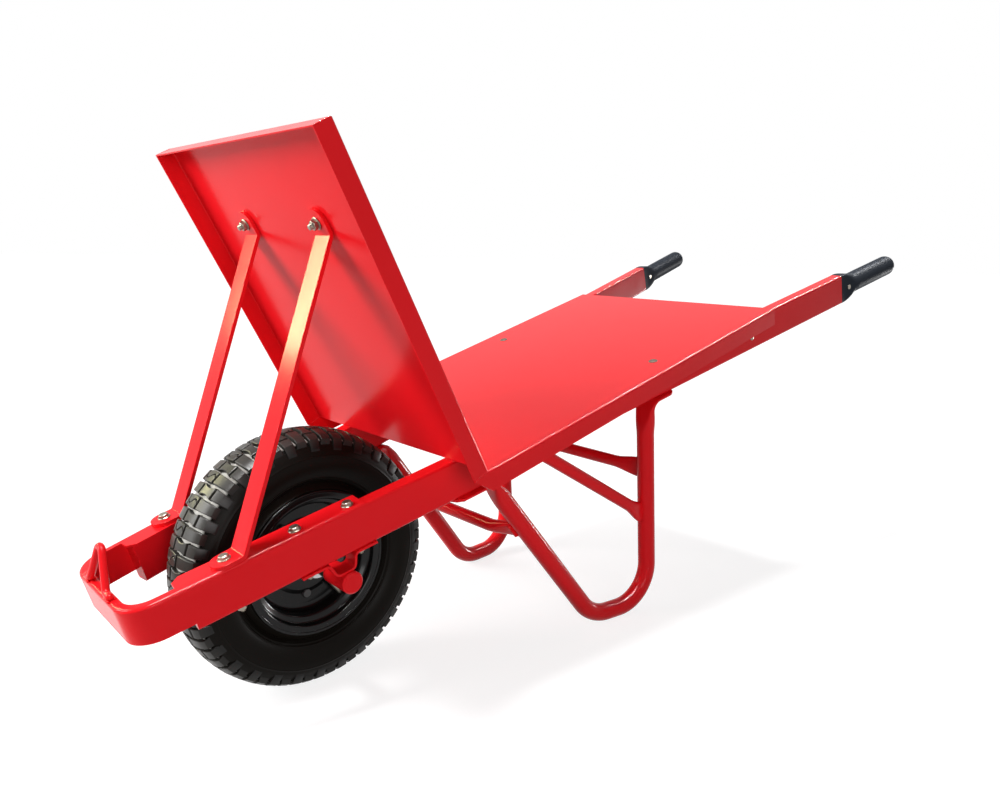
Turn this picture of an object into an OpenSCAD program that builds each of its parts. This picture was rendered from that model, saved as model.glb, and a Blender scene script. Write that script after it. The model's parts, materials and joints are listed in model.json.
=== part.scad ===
// Brick cart: a one-wheeled barrow with a flat deck, a raked headboard, splayed box rails and tube legs.
// Millimetres, +Z up, wheel toward -Y, handles toward +Y, left side at +X.
// The origin is on the ground, under the middle of the cart's length and width.

/* [Wheel] */
// Outside diameter of the tyre
tyre_d = 400; // [340:5:440]
// Width of the tyre over its sidewalls
tyre_w = 100; // [84:2:120]
// Radius of the tread across the tyre
crown_r = 110; // [80:5:200]
// Half width of the tread band
tread_half = 42; // [34:1:48]
// Radius of the rounded sidewall
side_r = 42; // [34:1:48]
// Thickness of the sidewall
tyre_wall = 10; // [6:1:14]
// Depth of the tread grooves
groove_d = 6; // [3:0.5:8]
// Width of the tread grooves
groove_w = 3.5; // [2:0.5:6]
// Blocks in one row of the tread
tread_blocks = 30; // [18:2:40]
// Diameter of the bead seat on the rim
bead_d = 203; // [180:1:240]
// Width between the rim's two flanges
rim_w = 84; // [70:1:96]
// Height of the rim's flange over the bead seat
rim_lip = 9; // [6:1:14]
// Thickness of the rim sheet
rim_t = 3; // [2:0.5:4]
// Diameter of the rolled edge on the rim's flange
rim_roll = 4.5; // [3.5:0.5:6]
// Diameter of the rim's well
rim_well_d = 180; // [160:2:190]
// Diameter of the circle of rim bolts
rim_bolt_circle = 124; // [100:2:140]
// Number of rim bolts
rim_bolts_n = 5; // [4:1:6]
// Outside diameter of the hub tube
hub_d = 54; // [48:1:64]
// Length of the hub tube
hub_len = 92; // [70:2:110]
// Diameter of the hub's collars beside the rim discs
hub_collar_d = 84; // [70:2:90]
// Thickness of a hub collar
hub_collar_t = 7; // [4:1:12]
// Outside diameter of a wheel bearing
bearing_d = 47; // [40:1:52]
// Width of a wheel bearing
bearing_w = 14; // [10:1:16]
// Diameter of the axle
axle_d = 20; // [16:1:25]
// Running clearance between axle and bearing bore, on the radius
axle_fit = 0.05; // [0.02:0.01:0.1]
// Outside diameter of the axle spacers
spacer_d = 28; // [24:1:34]
// Gap between a spacer and the turning bearing
spin_gap = 0.6; // [0.4:0.1:2]
// Diameter of the valve stem
valve_d = 8; // [6:0.5:10]

/* [Rails] */
// Slope of the rails, up toward the handles
tilt = 15.9; // [8:0.1:22]
// Angle of each rail to the cart's centre line
splay = 6.8; // [0:0.1:10]
// Height of the rail's top over the axle, square to the rail
axle_drop = 102.6; // [90:0.2:130]
// Distance between the two rails' centre lines at the axle
rail_gap = 244; // [220:2:280]
// Width of the rail tube
rail_w = 27; // [24:1:40]
// Height of the rail tube
rail_h = 62; // [50:1:80]
// Wall of the rail tube
rail_wall = 2.5; // [2:0.5:4]
// Corner radius of the rail tube
rail_corner = 4.5; // [3:0.5:8]
// Length of the rail ahead of the axle
rail_front = 204; // [200:1:240]
// Length of the rail behind the axle
rail_rear = 1217; // [1000:1:1300]

/* [Deck and headboard] */
// Distance of the deck's front edge behind the axle
deck_front = 205; // [200:1:260]
// Length of the deck
deck_len = 763; // [600:1:900]
// Width of the deck at its front edge, and of the headboard
deck_front_w = 477; // [420:1:560]
// Width of the deck at its rear edge
deck_rear_w = 513; // [500:1:580]
// Thickness of the deck and headboard sheet
sheet_t = 2; // [1.5:0.5:4]
// Depth of the deck's folded side skirts
skirt_h = 33; // [20:1:50]
// Height of the headboard along its face
board_h = 515; // [350:1:650]
// Lean of the headboard, forward of square to the deck
board_lean = 12.2; // [0:0.2:25]
// Depth of the headboard's folded flanges
board_flange = 29; // [20:1:50]
// Outside radius of the folds in the deck and headboard sheet
fold_r = 4; // [3:0.5:8]

/* [Struts] */
// Width of the strut's flat bar
strut_w = 40; // [25:1:50]
// Thickness of the strut's flat bar
strut_t = 6; // [4:0.5:8]
// Height of the upper strut bolt on the headboard
strut_top = 389; // [250:1:450]
// Length of the upper tab from its bolt to its bend
strut_top_tab = 18; // [14:1:30]
// Distance of the lower strut bolt ahead of the axle
strut_foot = 143; // [120:1:180]
// Length of the lower tab from its bolt to its bend
strut_foot_tab = 20; // [16:1:30]
// Bend radius of the strut on its centre line
strut_bend = 7; // [5:0.5:12]

/* [Front guard] */
// Distance of the guard's front face ahead of the axle
guard_front = 278; // [250:1:320]
// Distance of the guard's rear ends behind the axle
guard_end = 50; // [40:1:100]
// Thickness of the guard
guard_t = 3.5; // [3:0.5:6]
// Depth of the guard below the rail's top
guard_drop = 49; // [40:1:58]
// Width of the guard's top flange over a rail
guard_flange = 40; // [36:1:46]
// Width of the guard's top lip around the front
guard_lip = 13; // [8:1:20]
// Distance ahead of the axle at which the wide flange begins
guard_flange_start = 214; // [200:1:240]
// Chamfer at the wide flange's front corner
guard_chamfer = 11; // [4:1:16]
// Outside radius of the guard's front corners
guard_corner = 45; // [30:1:70]
// Outside radius of the bend between the guard's wall and its flange
guard_bend = 5; // [4:0.5:7]
// Diameter of the hoop's rod
hoop_rod = 12; // [8:1:16]
// Distance of the hoop's rod behind the guard's front face
hoop_set = 6; // [6:0.5:16]
// Half distance between the hoop's feet
hoop_half = 33; // [25:1:60]
// Height of the hoop's legs, to where their lines meet
hoop_h = 64; // [50:1:110]
// Lean of the hoop, back from upright
hoop_lean = 7; // [0:1:15]
// Bend radius of the hoop's top on its centre line
hoop_bend = 10; // [8:1:20]
// Length of a hoop foot outside its leg
hoop_foot = 18; // [12:1:30]
// Flat on the underside of the hoop's feet
hoop_flat = 1; // [0.5:0.1:2]

/* [Axle hangers] */
// Width of the hanger's strap
hanger_w = 30; // [24:1:40]
// Thickness of the hanger's strap
hanger_t = 3.5; // [3:0.5:8]
// Length of the hanger ahead of the axle
hanger_front = 61; // [50:1:80]
// Length of the hanger behind the axle
hanger_rear = 56; // [50:1:80]
// Half width of the hanger's hat at the rail
hat_top = 21; // [17:0.5:28]
// Half width of the hanger's hat at its bottom
hat_bottom = 14; // [12:0.5:20]
// Bend radius of the strap on its centre line
hanger_bend = 8; // [4:0.5:10]
// Diameter of the axle socket
socket_d = 33; // [28:0.5:40]
// Distance of the socket's closed end from the centre plane
socket_end = 143; // [138:1:160]
// Length of the socket
socket_len = 55; // [34:1:70]
// Thickness of the socket's closed end
socket_cap = 6; // [4:1:10]
// Chamfer around the socket's closed end
socket_chamfer = 2; // [1:0.5:4]
// Depth of the socket's seat in the hanger's hat
socket_seat = 1; // [0.5:0.1:2]
// Distance ahead of the axle of the hanger's front bolts
hanger_bolt_front = 47; // [40:1:60]
// Distance behind the axle of the hanger's rear bolts
hanger_bolt_rear = 33; // [30:1:45]

/* [Legs] */
// Diameter of the leg tube
leg_d = 32; // [25:0.5:40]
// Wall of the leg and tie tubes
leg_wall = 2.5; // [1.5:0.5:4]
// Level distance behind the axle at which the front arm meets the rail
leg_arm = 256; // [240:1:320]
// Level distance behind the axle of the leg's toe bend
leg_toe = 489; // [420:1:560]
// Level distance behind the axle of the leg's heel bend
leg_heel = 632; // [600:1:700]
// Level distance behind the axle at which the rear post meets the rail
leg_post = 597; // [560:1:640]
// Bend radius at the toe on the tube's centre line
toe_bend = 70; // [50:1:100]
// Bend radius at the heel on the tube's centre line
heel_bend = 60; // [45:1:80]
// Length of tube that is pressed flat at each end
leg_flat = 40; // [30:1:55]
// Width of the leg's flat tabs
leg_tab_w = 43; // [36:1:48]
// Thickness of the leg's flat tabs
leg_tab_t = 7; // [5:0.5:10]
// Distance behind the axle of the front tab's bolt
leg_front_bolt = 215; // [212:1:235]
// Distance behind the axle of the rear tab's bolt
leg_rear_bolt = 651; // [640:1:670]
// Length of a tab beyond its bolt
leg_tab_end = 24; // [18:1:32]
// Diameter of the ties and braces
tie_d = 22; // [18:0.5:28]
// Height of the rear tie over the ground
rear_tie_z = 277; // [200:1:320]
// Height at which the front tie meets the arms
front_tie_z = 223; // [180:1:250]
// Overlap of the front tie into the arms' outline
front_tie_bite = 6; // [3:0.5:9]
// Height at which the brace meets the post
brace_z = 200; // [120:1:240]
// Level distance behind the axle at which the brace meets the rail
brace_top = 332; // [300:1:400]
// Width of the brace's flat tab
brace_tab_w = 30; // [24:1:36]
// Thickness of the brace's flat tab
brace_tab_t = 5; // [4:0.5:8]
// Length of the brace's flat tab ahead of its bend
brace_tab_len = 34; // [26:1:50]
// Length of brace that is pressed flat
brace_flat = 26; // [18:1:40]

/* [Crossbar] */
// Distance of the rear crossbar behind the axle, along the rail
crossbar_y = 910; // [860:1:940]
// Depth of the crossbar's axis below the rail's top
crossbar_drop = 38; // [30:1:44]
// Diameter of the crossbar
crossbar_d = 22; // [18:1:28]
// Diameter of the crossbar's bore
crossbar_bore = 9; // [8:0.5:12]

/* [Grips] */
// Whole length of a grip behind the rail
grip_len = 205; // [150:1:240]
// Diameter of the round of a grip
grip_d = 38; // [30:0.5:42]
// Diameter of the grip's rounded end
grip_end_d = 37; // [28:0.5:41]
// Length of the grip's square-to-round socket
grip_base = 46; // [30:1:70]
// Diameter of the handle core inside the grip
core_d = 20; // [16:1:24]
// Length of the handle core behind the rail
core_len = 165; // [120:1:190]
// Length of the core's block inside the rail
core_block = 60; // [40:1:100]
// Height of the core's block inside the rail
core_block_h = 36; // [24:1:50]
// Distance of the grip screw behind the rail
grip_screw_y = 23; // [16:1:30]
// Distance of the screw head's seat from the grip's middle plane
grip_screw_seat = 13.5; // [12:0.5:16]

/* [Fasteners] */
// Diameter of the frame bolts
bolt_d = 8; // [6:1:10]
// Clearance of a bolt hole, on the diameter
bolt_fit = 0.6; // [0.4:0.1:1]
// Width across flats of the bolt heads and nuts
hex_af = 13; // [10:0.5:17]
// Height of a bolt head
head_h = 5.5; // [4:0.5:7]
// Height of a nut
nut_h = 6.5; // [5:0.5:8]
// Length of bolt that shows past its nut
bolt_tail = 4; // [1:0.5:8]
// Diameter of the washers
washer_d = 18; // [16:0.5:22]
// Thickness of the washers
washer_t = 1.6; // [1:0.2:2.5]
// Diameter of the flush heads in the deck
flush_d = 18; // [14:0.5:22]
// Diameter of the small screws
screw_d = 5; // [4:0.5:6]
// Diameter of the small screws' heads
screw_head_d = 10; // [8:0.5:12]
// Height of the small screws' heads
screw_head_h = 3.5; // [2:0.5:5]

/* [Hidden] */
$fn = 96;
overrun = 1;
weld = 0.2;
bend_neck = 0.1;
press_share = 1.04;
sides = [1, -1];
hex_sides = 6;
hull_fn = 32;
half_turn = 180;
quarter_turn = 90;
full_turn = 360;
red = "#c8141c";
black = "#17181a";
zinc = "#b9bcc0";
rubber = "#1f2022";

// Frame lengths that follow from the sizes above
axle_z = tyre_d / 2;
rail_x = rail_gap / 2;
rail_mid = -rail_h / 2;
under_axle = axle_drop - rail_h;
rail_turn = atan2(sin(splay), cos(splay) * cos(tilt));
rail_rise = asin(cos(splay) * sin(tilt));
guard_out = rail_w / 2 + guard_t;
board_mid = deck_front_w / 2;
deck_taper = atan2((deck_rear_w - deck_front_w) / 2, deck_len);

// Level place and height of the points that set the cart's length
guard_nose_y = -guard_front * cos(tilt) - (axle_drop + guard_t) * sin(tilt);
grip_tip_along = rail_rear + grip_len - grip_end_d / 2;
grip_tip_y = grip_tip_along * cos(splay) * cos(tilt) - (axle_drop + rail_mid) * sin(tilt) + grip_end_d / 2;
axle_y = -(guard_nose_y + grip_tip_y) / 2;

// Tyre and rim radii
tyre_r = tyre_d / 2;
bead_r = bead_d / 2;
side_mid = tyre_w / 2 - side_r;
wide_r = tyre_r - side_r - sheet_t;
cavity_r = side_r - tyre_wall;
rim_lip_r = bead_r + rim_lip;
rim_half = rim_w / 2;
well_r = rim_well_d / 2;
bead_in = rim_half - tyre_wall;
bead_flare_share = 0.64;
bead_flare_r = wide_r - side_r * (1 - bead_flare_share);
bead_flare_x = side_mid + sqrt(pow(side_r, 2) - pow(wide_r - bead_flare_r, 2));
bead_mid = side_mid + (side_r + cavity_r) / 2;
bead_low_r = wide_r - cavity_r + tyre_wall;
well_slope_share = 0.62;
well_x = rim_half * well_slope_share;
seat_x_share = 0.78;
seat_x = rim_half * seat_x_share;
tread_base_r = tyre_r - 2 * tyre_wall;
row_shares = [-0.78, -0.4, 0, 0.4, 0.78];
rib_shares = [-0.6, -0.2, 0.2, 0.6];
row_w_share = 0.36;
row_w = tread_half * row_w_share;

// Leg points in the leg's own upright plane: level distance behind the axle, height over the rail's underside there
leg_zero_z = axle_z + under_axle * cos(tilt);
tab_mid_drop = leg_tab_t / 2 / cos(rail_rise);
arm_p = [leg_arm, leg_arm * tan(rail_rise) - tab_mid_drop];
post_p = [leg_post, leg_post * tan(rail_rise) - tab_mid_drop];
toe_p = [leg_toe, leg_d / 2 - leg_zero_z];
heel_p = [leg_heel, leg_d / 2 - leg_zero_z];
arm_dir = (toe_p - arm_p) / norm(toe_p - arm_p);
post_dir = (heel_p - post_p) / norm(heel_p - post_p);
arm_end = arm_p + arm_dir * leg_flat;
post_end = post_p + post_dir * leg_flat;
arm_angle = atan2(arm_dir[1], arm_dir[0]);
post_angle = atan2(post_dir[1], post_dir[0]);
arm_along = leg_arm / cos(rail_rise);
post_along = leg_post / cos(rail_rise);

// Tie and brace points
rear_tie_share = (rear_tie_z - leg_zero_z - post_p[1]) / (heel_p[1] - post_p[1]);
rear_tie_p = post_p + (heel_p - post_p) * rear_tie_share;
front_tie_share = (front_tie_z - leg_zero_z - arm_p[1]) / (toe_p[1] - arm_p[1]);
front_tie_out = leg_d / 2 + tie_d / 2 - front_tie_bite;
front_tie_p = arm_p + (toe_p - arm_p) * front_tie_share + [arm_dir[1], -arm_dir[0]] * front_tie_out;
brace_share = (brace_z - leg_zero_z - post_p[1]) / (heel_p[1] - post_p[1]);
brace_low = post_p + (heel_p - post_p) * brace_share;
brace_high = [brace_top, brace_top * tan(rail_rise) - brace_tab_t / 2 / cos(rail_rise)];
brace_dir = (brace_low - brace_high) / norm(brace_low - brace_high);
brace_end = brace_high + brace_dir * brace_flat;
brace_angle = atan2(brace_dir[1], brace_dir[0]);
brace_along = brace_top / cos(rail_rise);
brace_tip = brace_along - brace_tab_len;
brace_screw_y = brace_tip + brace_tab_w / 2;

// Strut points in the deck's frame: distance behind the axle, height over the rail's top
strut_x = rail_x - strut_foot * tan(splay);
strut_low_z = guard_t + strut_t / 2;
strut_face = -sheet_t - strut_t / 2;
board_dir = [-sin(board_lean), cos(board_lean)];
board_fwd = [cos(board_lean), sin(board_lean)];
board_p = [deck_front, sheet_t];
strut_pts = [
    [-strut_foot, strut_low_z],
    [-strut_foot + strut_foot_tab, strut_low_z],
    board_p + board_dir * (strut_top - strut_top_tab) + board_fwd * strut_face,
    board_p + board_dir * strut_top + board_fwd * strut_face
];

// Guard corner in the deck's frame, and where the corner meets the rail's side
corner_s = -guard_front + guard_corner;
corner_x = rail_x + (guard_out - guard_corner) / cos(splay) + corner_s * tan(splay);
corner_along = (corner_x - rail_x) * sin(splay) + corner_s * cos(splay);
flange_in = guard_out - guard_flange;
lip_in = guard_out - guard_lip;
lip_mid = guard_out - (guard_lip + guard_bend) / 2;
guard_along = guard_end / cos(splay);
flange_along = -guard_flange_start / cos(splay);
strut_along = -strut_foot / cos(splay);

// Hanger levels in the rail's frame
hat_z = -axle_drop + socket_d / 2 - socket_seat + hanger_t / 2;
hanger_z = -rail_h - hanger_t / 2;

// Frames: the sloping deck plane, one rail, one leg's upright plane, the headboard and the wheel
module on_side(side) {
    if (side > 0) children();
    else mirror([1, 0, 0]) children();
}

module deck_frame() {
    translate([0, axle_y, axle_z]) rotate([tilt, 0, 0]) translate([0, 0, axle_drop]) children();
}

module rail_frame(side) {
    on_side(side) deck_frame() translate([rail_x, 0, 0]) rotate([0, 0, -splay]) children();
}

module leg_frame(side) {
    on_side(side) translate([rail_x, axle_y - under_axle * sin(tilt), leg_zero_z])
        rotate([0, 0, -rail_turn]) children();
}

module board_frame() {
    deck_frame() translate([0, deck_front, sheet_t]) rotate([board_lean, 0, 0]) children();
}

module wheel_frame() {
    translate([0, axle_y, axle_z]) rotate([0, quarter_turn, 0]) children();
}

// A bar or tube along a path of points in the YZ plane, with round bends
// The first child is the section of the straight runs and the last one the section of the bends
module bent(pts, r) {
    n = len(pts);
    ang = [for (i = [0 : n - 2]) atan2(pts[i + 1][1] - pts[i][1], pts[i + 1][0] - pts[i][0])];
    turn = [for (i = [0 : n - 2]) i == 0 ? 0 : turned(ang[i] - ang[i - 1])];
    cut = [for (i = [0 : n - 1]) i == 0 || i == n - 1 ? 0 : r[i] * tan(abs(turn[i]) / 2)];
    for (i = [0 : n - 2]) {
        d = [cos(ang[i]), sin(ang[i])];
        a = pts[i] + d * cut[i];
        before = i > 0 ? weld : 0;
        after = i < n - 2 ? weld : 0;
        b = a - d * before;
        translate([0, b[0], b[1]]) rotate([ang[i] - quarter_turn, 0, 0])
            linear_extrude(norm(pts[i + 1] - pts[i]) - cut[i] - cut[i + 1] + before + after) children(0);
        if (i > 0) {
            hand = turn[i] > 0 ? 1 : -1;
            c = a + hand * r[i] * [-d[1], d[0]];
            start = turn[i] > 0 ? ang[i] - turn[i] - quarter_turn : ang[i] + quarter_turn;
            translate([0, c[0], c[1]]) rotate([quarter_turn, 0, quarter_turn]) rotate([0, 0, start])
                rotate_extrude(angle = abs(turn[i])) translate([r[i], 0]) rotate([0, 0, quarter_turn])
                    children($children - 1);
        }
    }
}

function turned(a) = a > half_turn ? a - full_turn : a < -half_turn ? a + full_turn : a;

module ring2d(d, wall) {
    difference() {
        circle(d = d);
        circle(d = d - 2 * wall);
    }
}

module rounded_rect(w, h, r) {
    square([w - 2 * r, h], center = true);
    square([w, h - 2 * r], center = true);
    for (x = sides, y = sides) translate([x * (w / 2 - r), y * (h / 2 - r)]) circle(r = r);
}

// Angle section with a round outer bend, its corner at the origin and its legs toward -X and -Y
module angle_section(across, down, t, r) {
    intersection() {
        translate([-across, -down]) square([across, down]);
        translate([-across - r, -down - r]) difference() {
            rounded_rect(2 * (across + r), 2 * (down + r), r);
            rounded_rect(2 * (across + r - t), 2 * (down + r - t), r - t);
        }
    }
}

module hex(af, h) {
    cylinder(d = af / cos(half_turn / hex_sides), h = h, $fn = hex_sides);
}

// Upright hole through a rail, a tab or a flange, in the rail's frame
module bolt_hole(y, low, high) {
    translate([0, y, low]) cylinder(d = bolt_d + bolt_fit, h = high - low);
}

// A nut below a level, in the rail's frame
module nut_under(y, z) {
    translate([0, y, z - nut_h]) difference() {
        hex(hex_af, nut_h);
        translate([0, 0, -overrun]) cylinder(d = bolt_d, h = nut_h + 2 * overrun);
    }
}

module post_rod(side, d) {
    leg_frame(side) translate([0, post_p[0], post_p[1]]) rotate([post_angle - quarter_turn, 0, 0])
        cylinder(d = d, h = norm(heel_p - post_p));
}

module arm_rod(side, d) {
    leg_frame(side) translate([0, arm_p[0], arm_p[1]]) rotate([arm_angle - quarter_turn, 0, 0])
        cylinder(d = d, h = norm(toe_p - arm_p));
}

// Rail: a box tube, its front end closed, drilled for the bolts that pass through it
module rail(side) {
    color(red) rail_frame(side) difference() {
        union() {
            translate([0, -rail_front, rail_mid]) rotate([-quarter_turn, 0, 0])
                linear_extrude(rail_front + rail_rear) difference() {
                    rounded_rect(rail_w, rail_h, rail_corner);
                    rounded_rect(rail_w - 2 * rail_wall, rail_h - 2 * rail_wall, rail_corner - rail_wall);
                }
            translate([0, -rail_front, rail_mid]) rotate([-quarter_turn, 0, 0])
                linear_extrude(rail_wall) rounded_rect(rail_w, rail_h, rail_corner);
        }
        for (y = [strut_along, -hanger_bolt_front, hanger_bolt_rear, leg_front_bolt, leg_rear_bolt])
            bolt_hole(y, -rail_h - overrun, overrun);
        translate([0, brace_screw_y, -rail_h - overrun])
            cylinder(d = screw_d + bolt_fit, h = rail_wall + 2 * overrun);
        translate([-rail_w, crossbar_y, -crossbar_drop]) rotate([0, quarter_turn, 0])
            cylinder(d = bolt_d + bolt_fit, h = 2 * rail_w);
    }
}

// Front guard: an angle bent round the front of both rails, its top flange wide where it is bolted on
module guard_section(neck) {
    translate([-neck, -neck])
        angle_section(guard_lip - 2 * neck, guard_drop + guard_t - 2 * neck, guard_t - 2 * neck, guard_bend - neck);
}

module front_guard() {
    color(red) difference() {
        union() {
            deck_frame() translate([corner_x + weld, -guard_front, guard_t])
                rotate([quarter_turn, 0, -quarter_turn])
                    linear_extrude(2 * (corner_x + weld)) guard_section(0);
            for (side = sides) {
                on_side(side) deck_frame() translate([corner_x, corner_s, 0]) rotate([0, 0, -quarter_turn])
                    rotate_extrude(angle = quarter_turn - splay) translate([guard_corner, guard_t])
                        guard_section(bend_neck);
                rail_frame(side) {
                    translate([guard_out, guard_along, guard_t]) rotate([quarter_turn, 0, 0])
                        linear_extrude(guard_along - corner_along + weld) guard_section(0);
                    linear_extrude(guard_t) polygon([
                        [lip_mid, flange_along], [lip_mid, guard_along], [flange_in, guard_along],
                        [flange_in, flange_along + guard_chamfer], [flange_in + guard_chamfer, flange_along]
                    ]);
                }
            }
        }
        for (side = sides) rail_frame(side) for (y = [strut_along, -hanger_bolt_front, hanger_bolt_rear])
            bolt_hole(y, -overrun, guard_t + overrun);
    }
}

// Front hoop: a bent rod standing upright on the guard's front lip, its feet flattened where they are welded
module front_hoop() {
    color(red) difference() {
        deck_frame() translate([0, -guard_front + hoop_set, guard_t + hoop_rod / 2 - hoop_flat])
            rotate([-tilt - hoop_lean, 0, 0]) rotate([0, 0, quarter_turn])
                bent([
                    [-hoop_half - hoop_foot, 0], [-hoop_half, 0], [0, hoop_h], [hoop_half, 0],
                    [hoop_half + hoop_foot, 0]
                ], [0, hoop_bend, hoop_bend, hoop_bend, 0]) {
                    circle(d = hoop_rod);
                    circle(d = hoop_rod - 2 * bend_neck);
                }
        deck_frame() translate([-board_mid, -guard_front - hoop_rod, -hoop_rod])
            cube([deck_front_w, guard_corner, hoop_rod + guard_t]);
    }
}

// Deck: a tapered sheet with folded side skirts
module deck() {
    front = deck_front_w / 2;
    rear = deck_rear_w / 2;
    flat = 2 * fold_r;
    color(red) difference() {
        deck_frame() union() {
            translate([0, deck_front, 0]) linear_extrude(sheet_t)
                polygon([[-front + flat, 0], [front - flat, 0], [rear - flat, deck_len], [-rear + flat, deck_len]]);
            for (side = sides) on_side(side) intersection() {
                translate([rear, deck_front + deck_len, sheet_t]) rotate([0, 0, -deck_taper])
                    translate([0, skirt_h, 0]) rotate([quarter_turn, 0, 0])
                        linear_extrude(deck_len + 2 * skirt_h)
                            angle_section(2 * flat, skirt_h, sheet_t, fold_r);
                translate([0, deck_front, -skirt_h]) cube([2 * rear, deck_len, 2 * skirt_h]);
            }
        }
        for (side = sides) rail_frame(side) for (y = [leg_front_bolt, leg_rear_bolt])
            translate([0, y, -overrun]) cylinder(d = flush_d, h = sheet_t + 2 * overrun);
    }
}

// Headboard: a shallow pan whose top and side flanges point forward, its foot butted on the deck's front edge
module board_block(inset) {
    depth = 4 * board_flange;
    intersection() {
        translate([0, -depth / 2, -board_h]) linear_extrude(2 * board_h)
            rounded_rect(deck_front_w - 2 * inset, depth - 2 * inset, fold_r - inset);
        translate([-deck_front_w, -depth / 2, 0]) rotate([quarter_turn, 0, quarter_turn])
            linear_extrude(2 * deck_front_w)
                rounded_rect(depth - 2 * inset, 2 * (board_h - inset), fold_r - inset);
    }
}

module headboard() {
    foot_half = board_mid - 2 * fold_r;
    color(red) difference() {
        board_frame() difference() {
            board_block(0);
            board_block(sheet_t);
            translate([-deck_front_w, -board_flange - board_h, -2 * board_h])
                cube([2 * deck_front_w, board_h, 4 * board_h]);
        }
        deck_frame() translate([-foot_half, deck_front - board_h, -2 * board_h])
            cube([2 * foot_half, 2 * board_h, 2 * board_h]);
        deck_frame() translate([-deck_front_w, deck_front, -2 * board_h])
            cube([2 * deck_front_w, 2 * board_h, 2 * board_h + sheet_t]);
        board_frame() for (side = sides) on_side(side) {
            translate([foot_half - overrun, -board_h, -2 * board_h])
                cube([deck_front_w, 2 * board_h, 2 * board_h]);
            translate([strut_x, -board_flange, strut_top]) rotate([-quarter_turn, 0, 0])
                cylinder(d = bolt_d + bolt_fit, h = 2 * board_flange);
        }
    }
}

// Strut: a flat bar with a bent, round-ended tab at each end
module strut(side) {
    color(red) on_side(side) difference() {
        deck_frame() translate([strut_x, 0, 0]) union() {
            bent(strut_pts, [0, strut_bend, strut_bend, 0]) {
                square([strut_w, strut_t], center = true);
                square([strut_w - 2 * bend_neck, strut_t - 2 * bend_neck], center = true);
            }
            translate([0, strut_pts[0][0], guard_t]) cylinder(d = strut_w, h = strut_t);
            translate([0, strut_pts[3][0], strut_pts[3][1]]) rotate([board_lean + quarter_turn, 0, 0])
                cylinder(d = strut_w, h = strut_t, center = true);
        }
        deck_frame() translate([strut_x, -strut_foot, 0]) cylinder(d = bolt_d + bolt_fit, h = board_flange);
        board_frame() translate([strut_x, -board_flange, strut_top]) rotate([-quarter_turn, 0, 0])
            cylinder(d = bolt_d + bolt_fit, h = board_flange);
    }
}

// Leg: one tube bent to a U, both ends pressed flat and bolted under the rail
module leg_tab(side, from, bolt, hand) {
    rail_frame(side) translate([0, 0, -rail_h - leg_tab_t]) linear_extrude(leg_tab_t) {
        tip = bolt + hand * (leg_tab_end - leg_tab_w / 2);
        translate([-leg_tab_w / 2, min(from, tip)]) square([leg_tab_w, abs(from - tip)]);
        translate([0, tip]) circle(d = leg_tab_w);
    }
}

module leg_press(side, end, angle, along) {
    hull() {
        rail_frame(side) translate([0, along, -rail_h - leg_tab_t / 2])
            cube([leg_tab_w - 4 * bend_neck, leg_tab_t, leg_tab_t - 4 * bend_neck], center = true);
        leg_frame(side) translate([0, end[0], end[1]]) rotate([angle - quarter_turn, 0, 0])
            cylinder(d = leg_d * press_share, h = overrun, $fn = hull_fn);
    }
}

module leg(side) {
    color(red) difference() {
        union() {
            leg_frame(side) bent([arm_end, toe_p, heel_p, post_end], [0, toe_bend, heel_bend, 0]) {
                ring2d(leg_d, leg_wall);
                ring2d(leg_d - 2 * bend_neck, leg_wall - 2 * bend_neck);
            }
            leg_press(side, arm_end, arm_angle, arm_along);
            leg_press(side, post_end, post_angle, post_along);
            leg_tab(side, arm_along + leg_tab_t, leg_front_bolt, -1);
            leg_tab(side, post_along - leg_tab_t, leg_rear_bolt, 1);
        }
        rail_frame(side) for (y = [leg_front_bolt, leg_rear_bolt])
            bolt_hole(y, -rail_h - 2 * leg_d, -rail_h + overrun);
    }
}

// Brace: a tube from the post up to the rail, pressed flat where it is screwed on
module leg_brace(side) {
    color(red) difference() {
        union() {
            leg_frame(side) translate([0, brace_end[0], brace_end[1]]) rotate([brace_angle - quarter_turn, 0, 0])
                linear_extrude(norm(brace_low - brace_end)) ring2d(tie_d, leg_wall);
            hull() {
                rail_frame(side) translate([0, brace_along, -rail_h - brace_tab_t / 2])
                    cube([brace_tab_w - 4 * bend_neck, brace_tab_t, brace_tab_t - 4 * bend_neck], center = true);
                leg_frame(side) translate([0, brace_end[0], brace_end[1]])
                    rotate([brace_angle - quarter_turn, 0, 0])
                        cylinder(d = tie_d * press_share, h = overrun, $fn = hull_fn);
            }
            rail_frame(side) translate([0, 0, -rail_h - brace_tab_t]) linear_extrude(brace_tab_t) {
                translate([-brace_tab_w / 2, brace_screw_y])
                    square([brace_tab_w, brace_along + brace_tab_t - brace_screw_y]);
                translate([0, brace_screw_y]) circle(d = brace_tab_w);
            }
        }
        post_rod(side, leg_d);
        rail_frame(side) translate([0, brace_screw_y, -rail_h - leg_d])
            cylinder(d = screw_d + bolt_fit, h = 2 * leg_d);
    }
}

// Ties: tubes across the cart, shaped to the legs where they are welded
module tie(p) {
    x = rail_x + p[0] * sin(rail_turn);
    y = axle_y - under_axle * sin(tilt) + p[0] * cos(rail_turn);
    translate([-x, y, leg_zero_z + p[1]]) rotate([0, quarter_turn, 0]) linear_extrude(2 * x) ring2d(tie_d, leg_wall);
}

module leg_tie_front() {
    color(red) difference() {
        tie(front_tie_p);
        for (side = sides) arm_rod(side, leg_d);
    }
}

module leg_tie_rear() {
    color(red) difference() {
        tie(rear_tie_p);
        for (side = sides) post_rod(side, leg_d);
    }
}

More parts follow.
